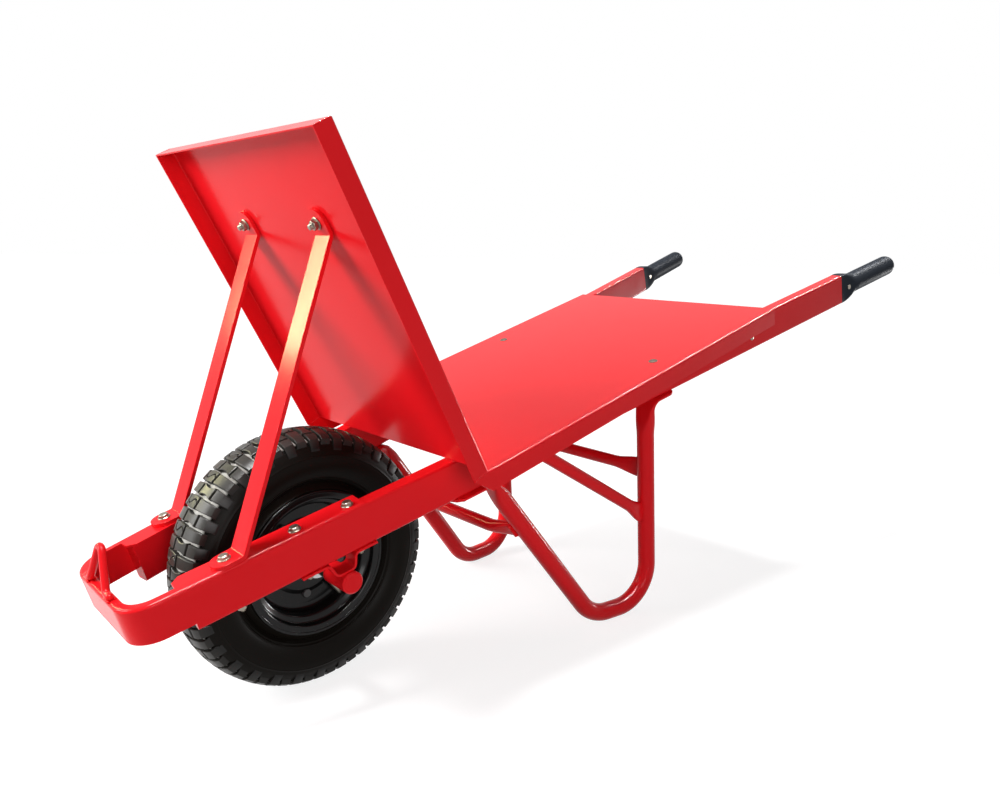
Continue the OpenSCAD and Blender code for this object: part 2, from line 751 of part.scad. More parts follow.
// Crossbar: a round bar between the rails under the deck's rear, cut to the rails' splay
module rear_crossbar() {
    s = crossbar_y * cos(splay);
    x = rail_x + crossbar_y * sin(splay);
    color(red) difference() {
        deck_frame() translate([-x, s, -crossbar_drop]) rotate([0, quarter_turn, 0])
            cylinder(d = crossbar_d, h = 2 * x);
        for (side = sides) rail_frame(side) {
            translate([-rail_w / 2, crossbar_y - rail_h, -rail_h]) cube([rail_h, 2 * rail_h, 2 * rail_h]);
            translate([-2 * rail_w, crossbar_y, -crossbar_drop]) rotate([0, quarter_turn, 0])
                cylinder(d = crossbar_bore, h = 2 * rail_w);
        }
    }
}

// Hanger: a hat-shaped strap bolted under the rail, with the axle socket seated under the hat
module hanger(side) {
    color(red) difference() {
        rail_frame(side) bent([
            [-hanger_front, hanger_z], [-hat_top, hanger_z], [-hat_bottom, hat_z],
            [hat_bottom, hat_z], [hat_top, hanger_z], [hanger_rear, hanger_z]
        ], [0, hanger_bend, hanger_bend, hanger_bend, hanger_bend, 0]) {
            square([hanger_w, hanger_t], center = true);
            square([hanger_w - 2 * bend_neck, hanger_t - 2 * bend_neck], center = true);
        }
        wheel_frame() translate([0, 0, -socket_end]) cylinder(d = socket_d, h = 2 * socket_end);
        rail_frame(side) for (y = [-hanger_bolt_front, hanger_bolt_rear])
            bolt_hole(y, -axle_drop, -rail_h + overrun);
    }
}

module axle_socket(side) {
    color(red) on_side(side) wheel_frame() difference() {
        rotate_extrude() polygon([
            [0, socket_end - socket_len], [socket_d / 2, socket_end - socket_len],
            [socket_d / 2, socket_end - socket_chamfer], [socket_d / 2 - socket_chamfer, socket_end],
            [0, socket_end]
        ]);
        translate([0, 0, -socket_cap]) cylinder(d = axle_d, h = socket_end);
    }
}

// Axle: a plain round bar held still in the sockets, with spacers either side of the hub
module axle() {
    color(zinc) wheel_frame() translate([0, 0, socket_cap - socket_end])
        cylinder(d = axle_d, h = 2 * (socket_end - socket_cap));
}

module axle_spacers() {
    color(zinc) for (side = sides) on_side(side) wheel_frame() translate([0, 0, hub_len / 2 + spin_gap])
        linear_extrude(socket_end - socket_len - hub_len / 2 - spin_gap)
            ring2d(spacer_d, (spacer_d - axle_d) / 2);
}

// Hub: a tube with a collar on each side of the rim discs and a seat for each bearing
module hub() {
    color(black) wheel_frame() difference() {
        union() {
            cylinder(d = hub_d, h = hub_len, center = true);
            for (side = sides) translate([0, 0, side * (rim_t + hub_collar_t / 2)])
                cylinder(d = hub_collar_d, h = hub_collar_t, center = true);
        }
        cylinder(d = bearing_d - 2 * rim_t, h = hub_len + 2 * overrun, center = true);
        for (side = sides) translate([0, 0, side * (hub_len - bearing_w) / 2])
            cylinder(d = bearing_d, h = bearing_w, center = true);
    }
}

module wheel_bearings() {
    color(zinc) wheel_frame() for (side = sides) translate([0, 0, side * (hub_len - bearing_w) / 2])
        difference() {
            cylinder(d = bearing_d, h = bearing_w, center = true);
            cylinder(d = axle_d + 2 * axle_fit, h = bearing_w + 2 * overrun, center = true);
        }
}

// Rim: two pressed halves bolted disc to disc, each with a well, a bead seat and a flange
module rim_half_part(side) {
    color(black) on_side(side) wheel_frame() difference() {
        rotate_extrude() {
            polygon([
                [hub_d / 2, 0], [well_r, 0], [well_r, well_x], [bead_r, seat_x], [bead_r, rim_half],
                [rim_lip_r, rim_half], [rim_lip_r, rim_half + rim_t], [bead_r - rim_t, rim_half + rim_t],
                [bead_r - rim_t, seat_x + rim_t / 2], [well_r - rim_t, well_x + rim_t / 2],
                [well_r - rim_t, rim_t], [hub_d / 2, rim_t]
            ]);
            translate([rim_lip_r, rim_half + rim_roll / 2]) circle(d = rim_roll);
        }
        for (i = [0 : rim_bolts_n - 1]) rotate([0, 0, i * full_turn / rim_bolts_n])
            translate([rim_bolt_circle / 2, 0, -overrun]) cylinder(d = bolt_d, h = rim_t + 2 * overrun);
        if (side > 0) valve_place() cylinder(d = valve_d, h = tyre_r);
    }
}

module valve_place() {
    rotate([0, 0, half_turn / rim_bolts_n]) translate([hub_collar_d / 2 + valve_d, 0, rim_half / 2 - valve_d / 2])
        rotate([0, quarter_turn, 0]) children();
}

module rim_bolts() {
    color(black) wheel_frame() for (i = [0 : rim_bolts_n - 1]) rotate([0, 0, i * full_turn / rim_bolts_n])
        translate([rim_bolt_circle / 2, 0, 0]) {
            translate([0, 0, rim_t]) hex(hex_af, head_h);
            translate([0, 0, -rim_t - nut_h - bolt_tail]) cylinder(d = bolt_d, h = 2 * rim_t + nut_h + bolt_tail);
            translate([0, 0, -rim_t - nut_h]) hex(hex_af, nut_h);
        }
}

// Tyre cavity, inner tube and valve
module stadium(r) {
    translate([wide_r - r, -side_mid]) square([2 * r, 2 * side_mid]);
    for (side = sides) translate([wide_r, side * side_mid]) circle(r = r);
}

module inner_tube() {
    color(rubber) wheel_frame() rotate_extrude() difference() {
        stadium(cavity_r);
        stadium(cavity_r - sheet_t);
    }
}

module valve_stem() {
    color(zinc) wheel_frame() difference() {
        valve_place() cylinder(d = valve_d, h = wide_r - cavity_r + valve_d - hub_collar_d / 2);
        rotate_extrude() stadium(cavity_r);
    }
}

// Tyre: rounded carcass, two beads and a crowned band cut into five rows of blocks
module carcass_section() {
    difference() {
        union() {
            stadium(side_r);
            intersection() {
                translate([tyre_r - crown_r, 0]) circle(r = crown_r);
                translate([tread_base_r, -tread_half]) square([tyre_r, 2 * tread_half]);
            }
        }
        stadium(cavity_r);
        translate([0, -bead_in]) square([wide_r, 2 * bead_in]);
        translate([0, -tyre_w]) square([rim_lip_r + rim_roll / 2, 2 * tyre_w]);
        for (x = rib_shares) translate([groove_floor(x * tread_half), x * tread_half - groove_w / 2])
            square([tyre_r, groove_w]);
    }
}

module bead_section() {
    polygon([
        [bead_r, bead_in], [bead_r, rim_half], [rim_lip_r + overrun, rim_half],
        [bead_flare_r, bead_flare_x - overrun], [bead_flare_r + overrun, bead_mid], [bead_low_r, bead_in]
    ]);
}

// Radius of the groove's floor at a place across the crown
function groove_floor(x) = tyre_r - crown_r + sqrt(pow(crown_r, 2) - pow(x, 2)) - groove_d;

module tyre() {
    step = full_turn / tread_blocks;
    color(rubber) wheel_frame() difference() {
        union() {
            rotate_extrude() carcass_section();
            for (side = sides) mirror([0, 0, side > 0 ? 0 : 1]) rotate_extrude() bead_section();
        }
        for (i = [0 : tread_blocks - 1], k = [0 : len(row_shares) - 1])
            rotate([0, 0, (i + (k % 2) / 2) * step])
                translate([groove_floor(row_shares[k] * tread_half), -groove_w / 2, row_shares[k] * tread_half - row_w / 2])
                    cube([tyre_wall + groove_d, groove_w, row_w]);
    }
}

// Handle core, grip and its screw, in the rail's frame
module grip_core(side) {
    color(zinc) rail_frame(side) difference() {
        union() {
            translate([-rail_w / 2 + rail_wall, rail_rear - core_block, rail_mid - core_block_h / 2])
                cube([rail_w - 2 * rail_wall, core_block, core_block_h]);
            translate([0, rail_rear - overrun, rail_mid]) rotate([-quarter_turn, 0, 0])
                cylinder(d = core_d, h = core_len + overrun);
        }
        grip_screw_hole();
    }
}

module grip_screw_hole() {
    translate([-rail_w, rail_rear + grip_screw_y, rail_mid]) rotate([0, quarter_turn, 0])
        cylinder(d = screw_d, h = 2 * rail_w);
}

module grip(side) {
    color(rubber) rail_frame(side) difference() {
        union() {
            hull() {
                translate([0, rail_rear, rail_mid]) rotate([-quarter_turn, 0, 0])
                    linear_extrude(overrun) square([rail_w, rail_h], center = true);
                translate([0, rail_rear + grip_base, rail_mid]) rotate([-quarter_turn, 0, 0])
                    cylinder(d = grip_d * press_share, h = overrun, $fn = hull_fn);
            }
            translate([0, rail_rear + grip_base, rail_mid]) rotate([-quarter_turn, 0, 0])
                cylinder(d = grip_d, h = grip_len - grip_base - grip_end_d / 2);
            translate([0, grip_tip_along, rail_mid]) sphere(d = grip_end_d);
        }
        translate([0, rail_rear - overrun, rail_mid]) rotate([-quarter_turn, 0, 0])
            cylinder(d = core_d, h = core_len + overrun);
        grip_screw_hole();
        for (side2 = sides) on_side(side2) translate([grip_screw_seat, rail_rear + grip_screw_y, rail_mid])
            rotate([0, quarter_turn, 0]) cylinder(d = screw_head_d, h = rail_w);
    }
}

module grip_screws() {
    color(zinc) for (side = sides) rail_frame(side) translate([0, rail_rear + grip_screw_y, rail_mid])
        rotate([0, quarter_turn, 0]) {
            cylinder(d = screw_d, h = 2 * grip_screw_seat, center = true);
            for (side2 = sides) translate([0, 0, side2 * (grip_screw_seat + screw_head_h / 2)])
                cylinder(d = screw_head_d, h = screw_head_h, center = true);
        }
}

// Guard bolts: four hold guard, rail and hanger together, two hold strut foot, guard and rail
module guard_bolts() {
    color(zinc) for (side = sides) rail_frame(side) {
        for (y = [-hanger_bolt_front, hanger_bolt_rear]) translate([0, y, 0]) {
            translate([0, 0, guard_t]) cylinder(d = washer_d, h = washer_t);
            translate([0, 0, guard_t + washer_t]) hex(hex_af, head_h);
            translate([0, 0, -rail_h - hanger_t - nut_h - bolt_tail])
                cylinder(d = bolt_d, h = rail_h + hanger_t + nut_h + bolt_tail + guard_t);
        }
        translate([0, strut_along, 0]) {
            translate([0, 0, guard_t + strut_t]) cylinder(d = washer_d, h = washer_t);
            translate([0, 0, guard_t + strut_t + washer_t]) hex(hex_af, head_h);
            translate([0, 0, -rail_h - nut_h - bolt_tail])
                cylinder(d = bolt_d, h = rail_h + nut_h + bolt_tail + guard_t + strut_t);
        }
    }
}

module guard_nuts() {
    color(zinc) for (side = sides) rail_frame(side) {
        for (y = [-hanger_bolt_front, hanger_bolt_rear]) nut_under(y, -rail_h - hanger_t);
        nut_under(strut_along, -rail_h);
    }
}

// Strut bolts: round heads behind the headboard, nuts and washers in front of the struts
module strut_bolts() {
    reach = sheet_t + strut_t + washer_t + nut_h + bolt_tail;
    color(zinc) board_frame() for (side = sides) translate([side * strut_x, 0, strut_top])
        rotate([quarter_turn, 0, 0]) {
            cylinder(d = bolt_d, h = reach);
            translate([0, 0, -screw_head_h]) cylinder(d = washer_d, h = screw_head_h);
        }
}

module strut_nuts() {
    color(zinc) board_frame() for (side = sides) translate([side * strut_x, -sheet_t - strut_t, strut_top])
        rotate([quarter_turn, 0, 0]) difference() {
            union() {
                cylinder(d = washer_d, h = washer_t);
                translate([0, 0, washer_t]) hex(hex_af, nut_h);
            }
            translate([0, 0, -overrun]) cylinder(d = bolt_d, h = nut_h + washer_t + 2 * overrun);
        }
}

// Deck bolts: flush heads in the deck, shanks down through the rail and the leg's tab
module deck_bolts() {
    color(zinc) for (side = sides) rail_frame(side) for (y = [leg_front_bolt, leg_rear_bolt]) translate([0, y, 0]) {
        cylinder(d = flush_d, h = sheet_t);
        translate([0, 0, -rail_h - leg_tab_t - nut_h - bolt_tail])
            cylinder(d = bolt_d, h = rail_h + leg_tab_t + nut_h + bolt_tail);
    }
}

module leg_nuts() {
    color(zinc) for (side = sides) rail_frame(side) for (y = [leg_front_bolt, leg_rear_bolt])
        nut_under(y, -rail_h - leg_tab_t);
}

module brace_screws() {
    color(zinc) for (side = sides) rail_frame(side) translate([0, brace_screw_y, -rail_h - brace_tab_t]) {
        cylinder(d = screw_d, h = brace_tab_t + 2 * rail_wall);
        translate([0, 0, -screw_head_h]) cylinder(d = screw_head_d, h = screw_head_h);
    }
}

module crossbar_bolts() {
    color(zinc) for (side = sides) rail_frame(side) translate([0, crossbar_y, -crossbar_drop])
        rotate([0, quarter_turn, 0]) {
            translate([0, 0, -2 * rail_w]) cylinder(d = bolt_d, h = 2 * rail_w + rail_w / 2);
            translate([0, 0, rail_w / 2]) cylinder(d = hex_af, h = screw_head_h);
        }
}

rail(1);  // rail_left
rail(-1);  // rail_right
front_guard();
front_hoop();
deck();
headboard();
strut(1);  // strut_left
strut(-1);  // strut_right
leg(1);  // leg_left
leg(-1);  // leg_right
leg_brace(1);  // leg_brace_left
leg_brace(-1);  // leg_brace_right
leg_tie_front();
leg_tie_rear();
rear_crossbar();
hanger(1);  // hanger_left
hanger(-1);  // hanger_right
axle_socket(1);  // axle_socket_left
axle_socket(-1);  // axle_socket_right
axle();
axle_spacers();
hub();
wheel_bearings();
rim_half_part(1);  // rim_half_left
rim_half_part(-1);  // rim_half_right
rim_bolts();
inner_tube();
valve_stem();
tyre();
grip_core(1);  // grip_core_left
grip_core(-1);  // grip_core_right
grip(1);  // grip_left
grip(-1);  // grip_right
grip_screws();
guard_bolts();
guard_nuts();
strut_bolts();
strut_nuts();
deck_bolts();
leg_nuts();
brace_screws();
crossbar_bolts();
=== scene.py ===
# %% [markdown]
# # A brick cart in red powder coat
# The cart is a barrow for bricks: one fat wheel, two sloping rails, a flat deck and a raked headboard.
# The CAD model gives every part its size and place. This lesson keeps that model as a fixed frame and
# makes the surfaces that the eye reads: folded sheet edges, pressed tube ends, a moulded tread, welds and
# finishes.

import json

import bpy
import numpy as np
from mathutils import Matrix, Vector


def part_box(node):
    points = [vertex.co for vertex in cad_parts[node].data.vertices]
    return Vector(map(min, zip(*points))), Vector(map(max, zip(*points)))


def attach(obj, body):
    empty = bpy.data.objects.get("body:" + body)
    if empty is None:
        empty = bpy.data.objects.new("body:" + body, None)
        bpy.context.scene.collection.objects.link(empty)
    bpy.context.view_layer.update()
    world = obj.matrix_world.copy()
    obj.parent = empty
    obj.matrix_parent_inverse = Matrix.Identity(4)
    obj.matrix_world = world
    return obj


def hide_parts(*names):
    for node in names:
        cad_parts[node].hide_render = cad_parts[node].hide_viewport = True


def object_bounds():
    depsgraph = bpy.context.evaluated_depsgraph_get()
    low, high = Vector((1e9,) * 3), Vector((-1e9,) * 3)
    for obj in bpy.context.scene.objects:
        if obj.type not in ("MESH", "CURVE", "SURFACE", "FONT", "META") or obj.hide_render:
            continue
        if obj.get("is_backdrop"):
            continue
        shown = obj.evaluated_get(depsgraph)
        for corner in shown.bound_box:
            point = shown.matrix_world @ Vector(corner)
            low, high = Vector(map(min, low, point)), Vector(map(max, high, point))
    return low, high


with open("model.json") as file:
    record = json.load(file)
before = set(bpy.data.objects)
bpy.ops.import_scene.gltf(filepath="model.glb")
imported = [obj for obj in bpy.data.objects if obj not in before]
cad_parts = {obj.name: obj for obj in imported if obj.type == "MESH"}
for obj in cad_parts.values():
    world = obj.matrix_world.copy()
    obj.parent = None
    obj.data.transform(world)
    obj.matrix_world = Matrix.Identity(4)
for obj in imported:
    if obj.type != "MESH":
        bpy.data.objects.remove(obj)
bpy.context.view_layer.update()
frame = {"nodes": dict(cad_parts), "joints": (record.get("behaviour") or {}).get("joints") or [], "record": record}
nodes = frame["nodes"]

# %% [markdown]
# ## Frames to work in
# Nothing on the cart is square to the ground, so each piece is drawn in the frame that it was made in:
# the sloping deck plane, one splayed rail, the upright plane of one leg, or the leaning headboard. Each
# frame is a function that takes millimetres, as arrays, and gives places in metres. A second side is the
# same with x turned.

# %% The frames
MM = 0.001
SIDES = ((1, "left"), (-1, "right"))
TILT, SPLAY, LEAN = np.radians([15.9, 6.8, 12.2])
WHEEL_R, AXLE_DROP = 200.0, 102.6
RAIL_X, RAIL_W, RAIL_H = 122.0, 27.0, 62.0
DECK_FRONT, SHEET = 205.0, 2.0
axle_y = frame["joints"][0]["pos_m"][1] * 1000
TURN = np.arctan2(np.sin(SPLAY), np.cos(SPLAY) * np.cos(TILT))
RISE = np.arcsin(np.cos(SPLAY) * np.sin(TILT))


def deck_point(x, s, n):
    """Across the cart, along the slope from the axle, up from the rails' top plane: a turn by the
    slope."""
    x, s, up = np.broadcast_arrays(x, s, np.asarray(n, float) + AXLE_DROP)
    y = axle_y + s * np.cos(TILT) - up * np.sin(TILT)
    z = WHEEL_R + s * np.sin(TILT) + up * np.cos(TILT)
    return np.stack([x, y, z], axis=-1) * MM


def rail_point(x, s, n, side=1):
    """Across one rail, along it and up from its top: the deck frame turned by the splay."""
    x, s = np.broadcast_arrays(np.asarray(x, float), np.asarray(s, float))
    across = RAIL_X + x * np.cos(SPLAY) + s * np.sin(SPLAY)
    return deck_point(side * across, s * np.cos(SPLAY) - x * np.sin(SPLAY), n)


def leg_point(x, h, z, side=1):
    """Across a leg's upright plane, level along it, and up from the rail's underside at the axle."""
    x, h, z = np.broadcast_arrays(np.asarray(x, float), np.asarray(h, float), np.asarray(z, float))
    under = AXLE_DROP - RAIL_H
    across = RAIL_X + x * np.cos(TURN) + h * np.sin(TURN)
    y = axle_y - under * np.sin(TILT) + h * np.cos(TURN) - x * np.sin(TURN)
    return np.stack([side * across, y, WHEEL_R + under * np.cos(TILT) + z], axis=-1) * MM


def board_point(x, f, e):
    """Across the headboard, forward of its back face and up along it: the deck frame turned by the
    lean."""
    f, e = np.broadcast_arrays(np.asarray(f, float), np.asarray(e, float))
    s = DECK_FRONT - f * np.cos(LEAN) - e * np.sin(LEAN)
    return deck_point(x, s, SHEET - f * np.sin(LEAN) + e * np.cos(LEAN))


def wheel_point(x, r, a):
    """Along the axle, out from it and round it."""
    x, r, a = np.broadcast_arrays(x, r, a)
    return np.stack([x, axle_y + r * np.cos(a), WHEEL_R + r * np.sin(a)], axis=-1) * MM


print("axle at", axle_y, "mm, leg plane turned", round(float(np.degrees(TURN)), 2), "degrees")

# %% [markdown]
# ## From grids to meshes
# A surface here is a grid of points, rows by columns. One helper turns a grid into faces, another joins
# several grids into one object, gives it a finish and lets it ride on a CAD body. Faces that meet at a
# low angle are smooth and the others stay sharp, so that one mesh can have both a round and a crisp edge.


# %% Grids and objects
def skin(points, around=True, along=False, caps=True):
    """Faces of a grid: each point is joined to the next in its row and column. A ring of columns closes
    around, a ring of rows closes along, and caps fill the two end rings."""
    rows, cols = points.shape[:2]
    index = np.arange(rows * cols).reshape(rows, cols)
    a = np.concatenate([index, index[:1]]) if along else index
    a = np.concatenate([a, a[:, :1]], axis=1) if around else a
    quads = np.stack([a[:-1, :-1], a[:-1, 1:], a[1:, 1:], a[1:, :-1]], axis=-1).reshape(-1, 4)
    faces = quads.tolist()
    if caps and around and not along:
        faces += [index[0, ::-1].tolist(), index[-1].tolist()]
    return points.reshape(-1, 3), faces


def make(name, skins, finish, body="frame", stands_for=(), crease=35, flat=False):
    """One object from several skins, its normals turned outwards, riding on a body. Where a small round
    meets a large flat face, flat weighs the normals by area, so that the flat face is shaded flat."""
    verts, faces, start = [], [], 0
    for v, f in skins:
        verts.append(v)
        faces += [[i + start for i in face] for face in f]
        start += len(v)
    mesh = bpy.data.meshes.new(name)
    mesh.from_pydata(np.concatenate(verts).tolist(), [], faces)
    mesh.validate()
    obj = bpy.data.objects.new(name, mesh)
    bpy.context.scene.collection.objects.link(obj)
    bpy.context.view_layer.objects.active = obj
    bpy.ops.object.mode_set(mode="EDIT")
    bpy.ops.mesh.select_all(action="SELECT")
    bpy.ops.mesh.normals_make_consistent(inside=False)
    bpy.ops.object.mode_set(mode="OBJECT")
    mesh.polygons.foreach_set("use_smooth", np.ones(len(mesh.polygons), bool))
    mesh.set_sharp_from_angle(angle=np.radians(crease))
    mesh.materials.append(finish)
    if flat:
        obj.modifiers.new("flat faces stay flat", "WEIGHTED_NORMAL").keep_sharp = True
    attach(obj, body)
    if stands_for:
        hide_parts(*stands_for)
    print(name, len(mesh.vertices), "vertices")


# %% [markdown]
# ## Lines and sections
# Most of the cart is bar, tube and folded sheet, so most shapes are a section carried along a line. The
# line is given by its corners, which are then rounded as a bending tool rounds them. Where a section
# changes, as at a pressed end, the line gets more points, so that the change is smooth.

# %% Lines
TIP_POINTS, TIP_FIRST = 9, 0.12
TOO_CLOSE_SHARE = 0.02


def rounded(points, radii, steps=8):
    """A polyline with its corners cut by arcs: each arc touches both of its sides, at a distance from the
    corner of the radius times the tangent of half the turn."""
    p = np.asarray(points, float)
    out = [p[:1]]
    for a, b, c, r in zip(p[:-2], p[1:-1], p[2:], radii):
        u, v = (b - a) / np.linalg.norm(b - a), (c - b) / np.linalg.norm(c - b)
        turn = np.arctan2(u[0] * v[1] - u[1] * v[0], u @ v)
        if r <= 0 or abs(turn) < 1e-6:
            out.append(b[None])
            continue
        t = np.linspace(0, abs(turn), steps + 1)[:, None]
        side = np.sign(turn) * np.array([-u[1], u[0]])
        out.append(b - u * r * np.tan(abs(turn) / 2) + u * r * np.sin(t) + side * r * (1 - np.cos(t)))
    return np.concatenate(out + [p[-1:]])


def refine(path, step, ends=0):
    """The same line with extra points, no further apart than a step, and crowded towards its ends like
    the points of a half round of a radius where that is given."""
    gaps = np.linalg.norm(np.diff(path, axis=0), axis=1)
    far = np.concatenate([[0], np.cumsum(gaps)])
    even = np.linspace(0, far[-1], int(far[-1] / step) + 1)
    tip = ends * (1 - np.cos(np.linspace(TIP_FIRST, np.pi / 2, TIP_POINTS)))
    at = np.unique(np.round(np.concatenate([far, even, tip, far[-1] - tip]), 5))
    at = at[np.concatenate([[True], np.diff(at) > step * TOO_CLOSE_SHARE])]
    return np.stack([np.interp(at, far, path[:, k]) for k in range(path.shape[1])], axis=1), at


def sweep(path, across, section):
    """A section carried along a path: across is the section's first direction, and the second is square
    to it and to the path."""
    tangent = np.gradient(path, axis=0)
    tangent /= np.linalg.norm(tangent, axis=1, keepdims=True)
    up = np.cross(tangent, across)
    up /= np.linalg.norm(up, axis=1, keepdims=True)
    return path[:, None] + section[..., :1] * across[:, None] + section[..., 1:] * up[:, None]


def ease(t):
    """A smooth step from 0 to 1."""
    t = np.clip(t, 0, 1)
    return t * t * (3 - 2 * t)


def half_round(away, radius, least=0.0004):
    """How wide a half round is at a distance from its tip, as a share of its full width. The square of
    the share is never under the least, so that the tip keeps a ring."""
    return np.sqrt(np.clip(1 - np.clip(1 - away / radius, 0, 1) ** 2, least, 1))


# %% Sections
BAR_CORNER, BAR_STEPS = 0.9, 3
BEAD_STEP, BEAD_WAVE, BEAD_SIDES = 0.0008, 0.003, 8
BEAD_RIPPLE_SHARE = 0.13


def super_ring(width, height, power, count=32):
    """Rings between a round and a box: the cosine and sine of an ellipse raised to two over the power."""
    a = np.arange(count) / count * 2 * np.pi
    w, h, p = [np.atleast_1d(np.asarray(v, float))[:, None] for v in (width, height, power)]
    c, s = np.cos(a), np.sin(a)
    x = w / 2 * np.sign(c) * np.abs(c) ** (2 / p)
    y = h / 2 * np.sign(s) * np.abs(s) ** (2 / p)
    return np.stack([x + 0 * y, y + 0 * x], axis=-1)


def bar_ring(width, height):
    """Rings of flat bar: a quarter round at each of four corners, with straight sides between them."""
    q = np.linspace(0, np.pi / 2, BAR_STEPS + 1) + np.arange(4)[:, None] * np.pi / 2
    sx, sy = np.array([[1], [-1], [-1], [1]]), np.array([[1], [1], [-1], [-1]])
    w = np.atleast_1d(np.asarray(width, float))[:, None, None] / 2
    h = np.atleast_1d(np.asarray(height, float))[:, None, None] / 2
    rx, ry = np.minimum(BAR_CORNER, w), np.minimum(BAR_CORNER, h)
    x, y = sx * (w - rx) + rx * np.cos(q), sy * (h - ry) + ry * np.sin(q)
    return np.stack(np.broadcast_arrays(x, y), axis=-1).reshape(len(x), -1, 2)


def rod(path, radius, ref, count=16):
    """A round rod along a path in metres, with a radius in millimetres at each point. The reference
    direction only says where the ring starts."""
    tangent = np.gradient(path, axis=0)
    across = np.cross(tangent, np.asarray(ref, float))
    across /= np.linalg.norm(across, axis=1, keepdims=True)
    d = 2 * np.broadcast_to(radius, len(path))
    return skin(sweep(path, across, super_ring(d, d, np.full(len(path), 2.0), count) * MM))


def bead(path, radius, ref):
    """A weld bead: a thin rod whose radius ripples every three millimetres and falls to nothing at its
    ends."""
    path, far = refine(np.asarray(path, float), BEAD_STEP)
    ripple = 1 + BEAD_RIPPLE_SHARE * np.sin(far * 2 * np.pi / BEAD_WAVE)
    close = half_round(np.minimum(far, far[-1] - far), radius * MM)
    return rod(path, radius * ripple * close, ref, BEAD_SIDES)


# %% [markdown]
# ## Shared parts of the finishes
# Powder coat is a thick paint that melts and flows: it is glossy, but has a fine orange peel. That ripple
# is used on the other finishes too, so it is a node group with a size. A second group gives slow, cloudy
# change, which breaks up a flat colour on paint, rubber and zinc alike. A third measures how far a place
# is from the axle, for rubber that is darker nearer to it. Everything is read from Object coordinates.


# %% Shared node groups
def node_group(name, inputs, output):
    """An empty shader group with named number sockets: its tree, its inputs, its output and the place."""
    tree = bpy.data.node_groups.new(name, "ShaderNodeTree")
    for label, value in inputs:
        tree.interface.new_socket(label, in_out="INPUT", socket_type="NodeSocketFloat").default_value = value
    tree.interface.new_socket(output, in_out="OUTPUT", socket_type="NodeSocketFloat")
    given, result = tree.nodes.new("NodeGroupInput"), tree.nodes.new("NodeGroupOutput")
    place = tree.nodes.new("ShaderNodeTexCoord").outputs["Object"]
    return tree, given.outputs, result.inputs[output], place


def feed(tree, value, socket):
    """Set a socket to a number, or link another socket to it."""
    if isinstance(value, (int, float)):
        socket.default_value = value
    else:
        tree.links.new(value, socket)


def noise(tree, place, cells, detail):
    """Noise with a number of cells to the metre."""
    n = tree.nodes.new("ShaderNodeTexNoise")
    n.inputs["Detail"].default_value = detail
    tree.links.new(place, n.inputs["Vector"])
    feed(tree, cells, n.inputs["Scale"])
    return n.outputs["Fac"]


def math_node(tree, operation, *values):
    """One Math node on two or three numbers or sockets."""
    m = tree.nodes.new("ShaderNodeMath")
    m.operation = operation
    for value, socket in zip(values, m.inputs):
        feed(tree, value, socket)
    return m.outputs[0]


WAVE_HEIGHT = 6.0
peel, given, height_out, place = node_group("Orange peel", [("Cells", 900.0), ("Waves", 25.0)], "Height")
fine = noise(peel, place, given["Cells"], 1.0)
wave = noise(peel, place, given["Waves"], 1.0)
peel.links.new(math_node(peel, "MULTIPLY_ADD", wave, WAVE_HEIGHT, fine), height_out)

cloud_inputs = [("Cells", 12.0), ("Low", 0.3), ("High", 0.4)]
cloud, given, value_out, place = node_group("Cloudy change", cloud_inputs, "Value")
drift = noise(cloud, place, given["Cells"], 4.0)
span = math_node(cloud, "SUBTRACT", given["High"], given["Low"])
cloud.links.new(math_node(cloud, "MULTIPLY_ADD", drift, span, given["Low"]), value_out)

axle_far, _, distance_out, place = node_group("Axle distance", [], "Distance")
side_view = axle_far.nodes.new("ShaderNodeVectorMath")
side_view.operation = "MULTIPLY"
side_view.inputs[1].default_value = (0, 1, 1)
from_axle = axle_far.nodes.new("ShaderNodeVectorMath")
from_axle.operation = "DISTANCE"
from_axle.inputs[1].default_value = (0, axle_y * MM, WHEEL_R * MM)
axle_far.links.new(place, side_view.inputs[0])
axle_far.links.new(side_view.outputs["Vector"], from_axle.inputs[0])
axle_far.links.new(from_axle.outputs["Value"], distance_out)
print("groups", [group.name for group in (peel, cloud, axle_far)])

# %% [markdown]
# ## The finishes
# Each finish is two close colours that drift into each other, with a roughness that changes a little and a fine
# bump. The carcass is pale beyond the foot of the blocks, a painted highlight that stands in for the glints in the
# grooves, and black on its sidewall, and the blocks carry painted shade, darker at the foot than on top. The bolts
# in the deck are dull, and the others on the frame are bright zinc.

# %% Finish helpers
BUMP_DEEP = 0.02
GLOSS_CELLS_SHARE = 4


def group_node(tree, group, **values):
    """The output of a shared group with its numbers set."""
    node = tree.nodes.new("ShaderNodeGroup")
    node.node_tree = group
    for label, value in values.items():
        node.inputs[label].default_value = value
    return node.outputs[0]


def blend(tree, factor, colour, other):
    """A colour that goes to another one by a factor. The other is a colour too, or a socket."""
    mix = tree.nodes.new("ShaderNodeMix")
    mix.data_type = "RGBA"
    mix.inputs["A"].default_value = (*colour, 1)
    if isinstance(other, tuple):
        mix.inputs["B"].default_value = (*other, 1)
    else:
        tree.links.new(other, mix.inputs["B"])
    tree.links.new(factor, mix.inputs["Factor"])
    return mix.outputs["Result"]


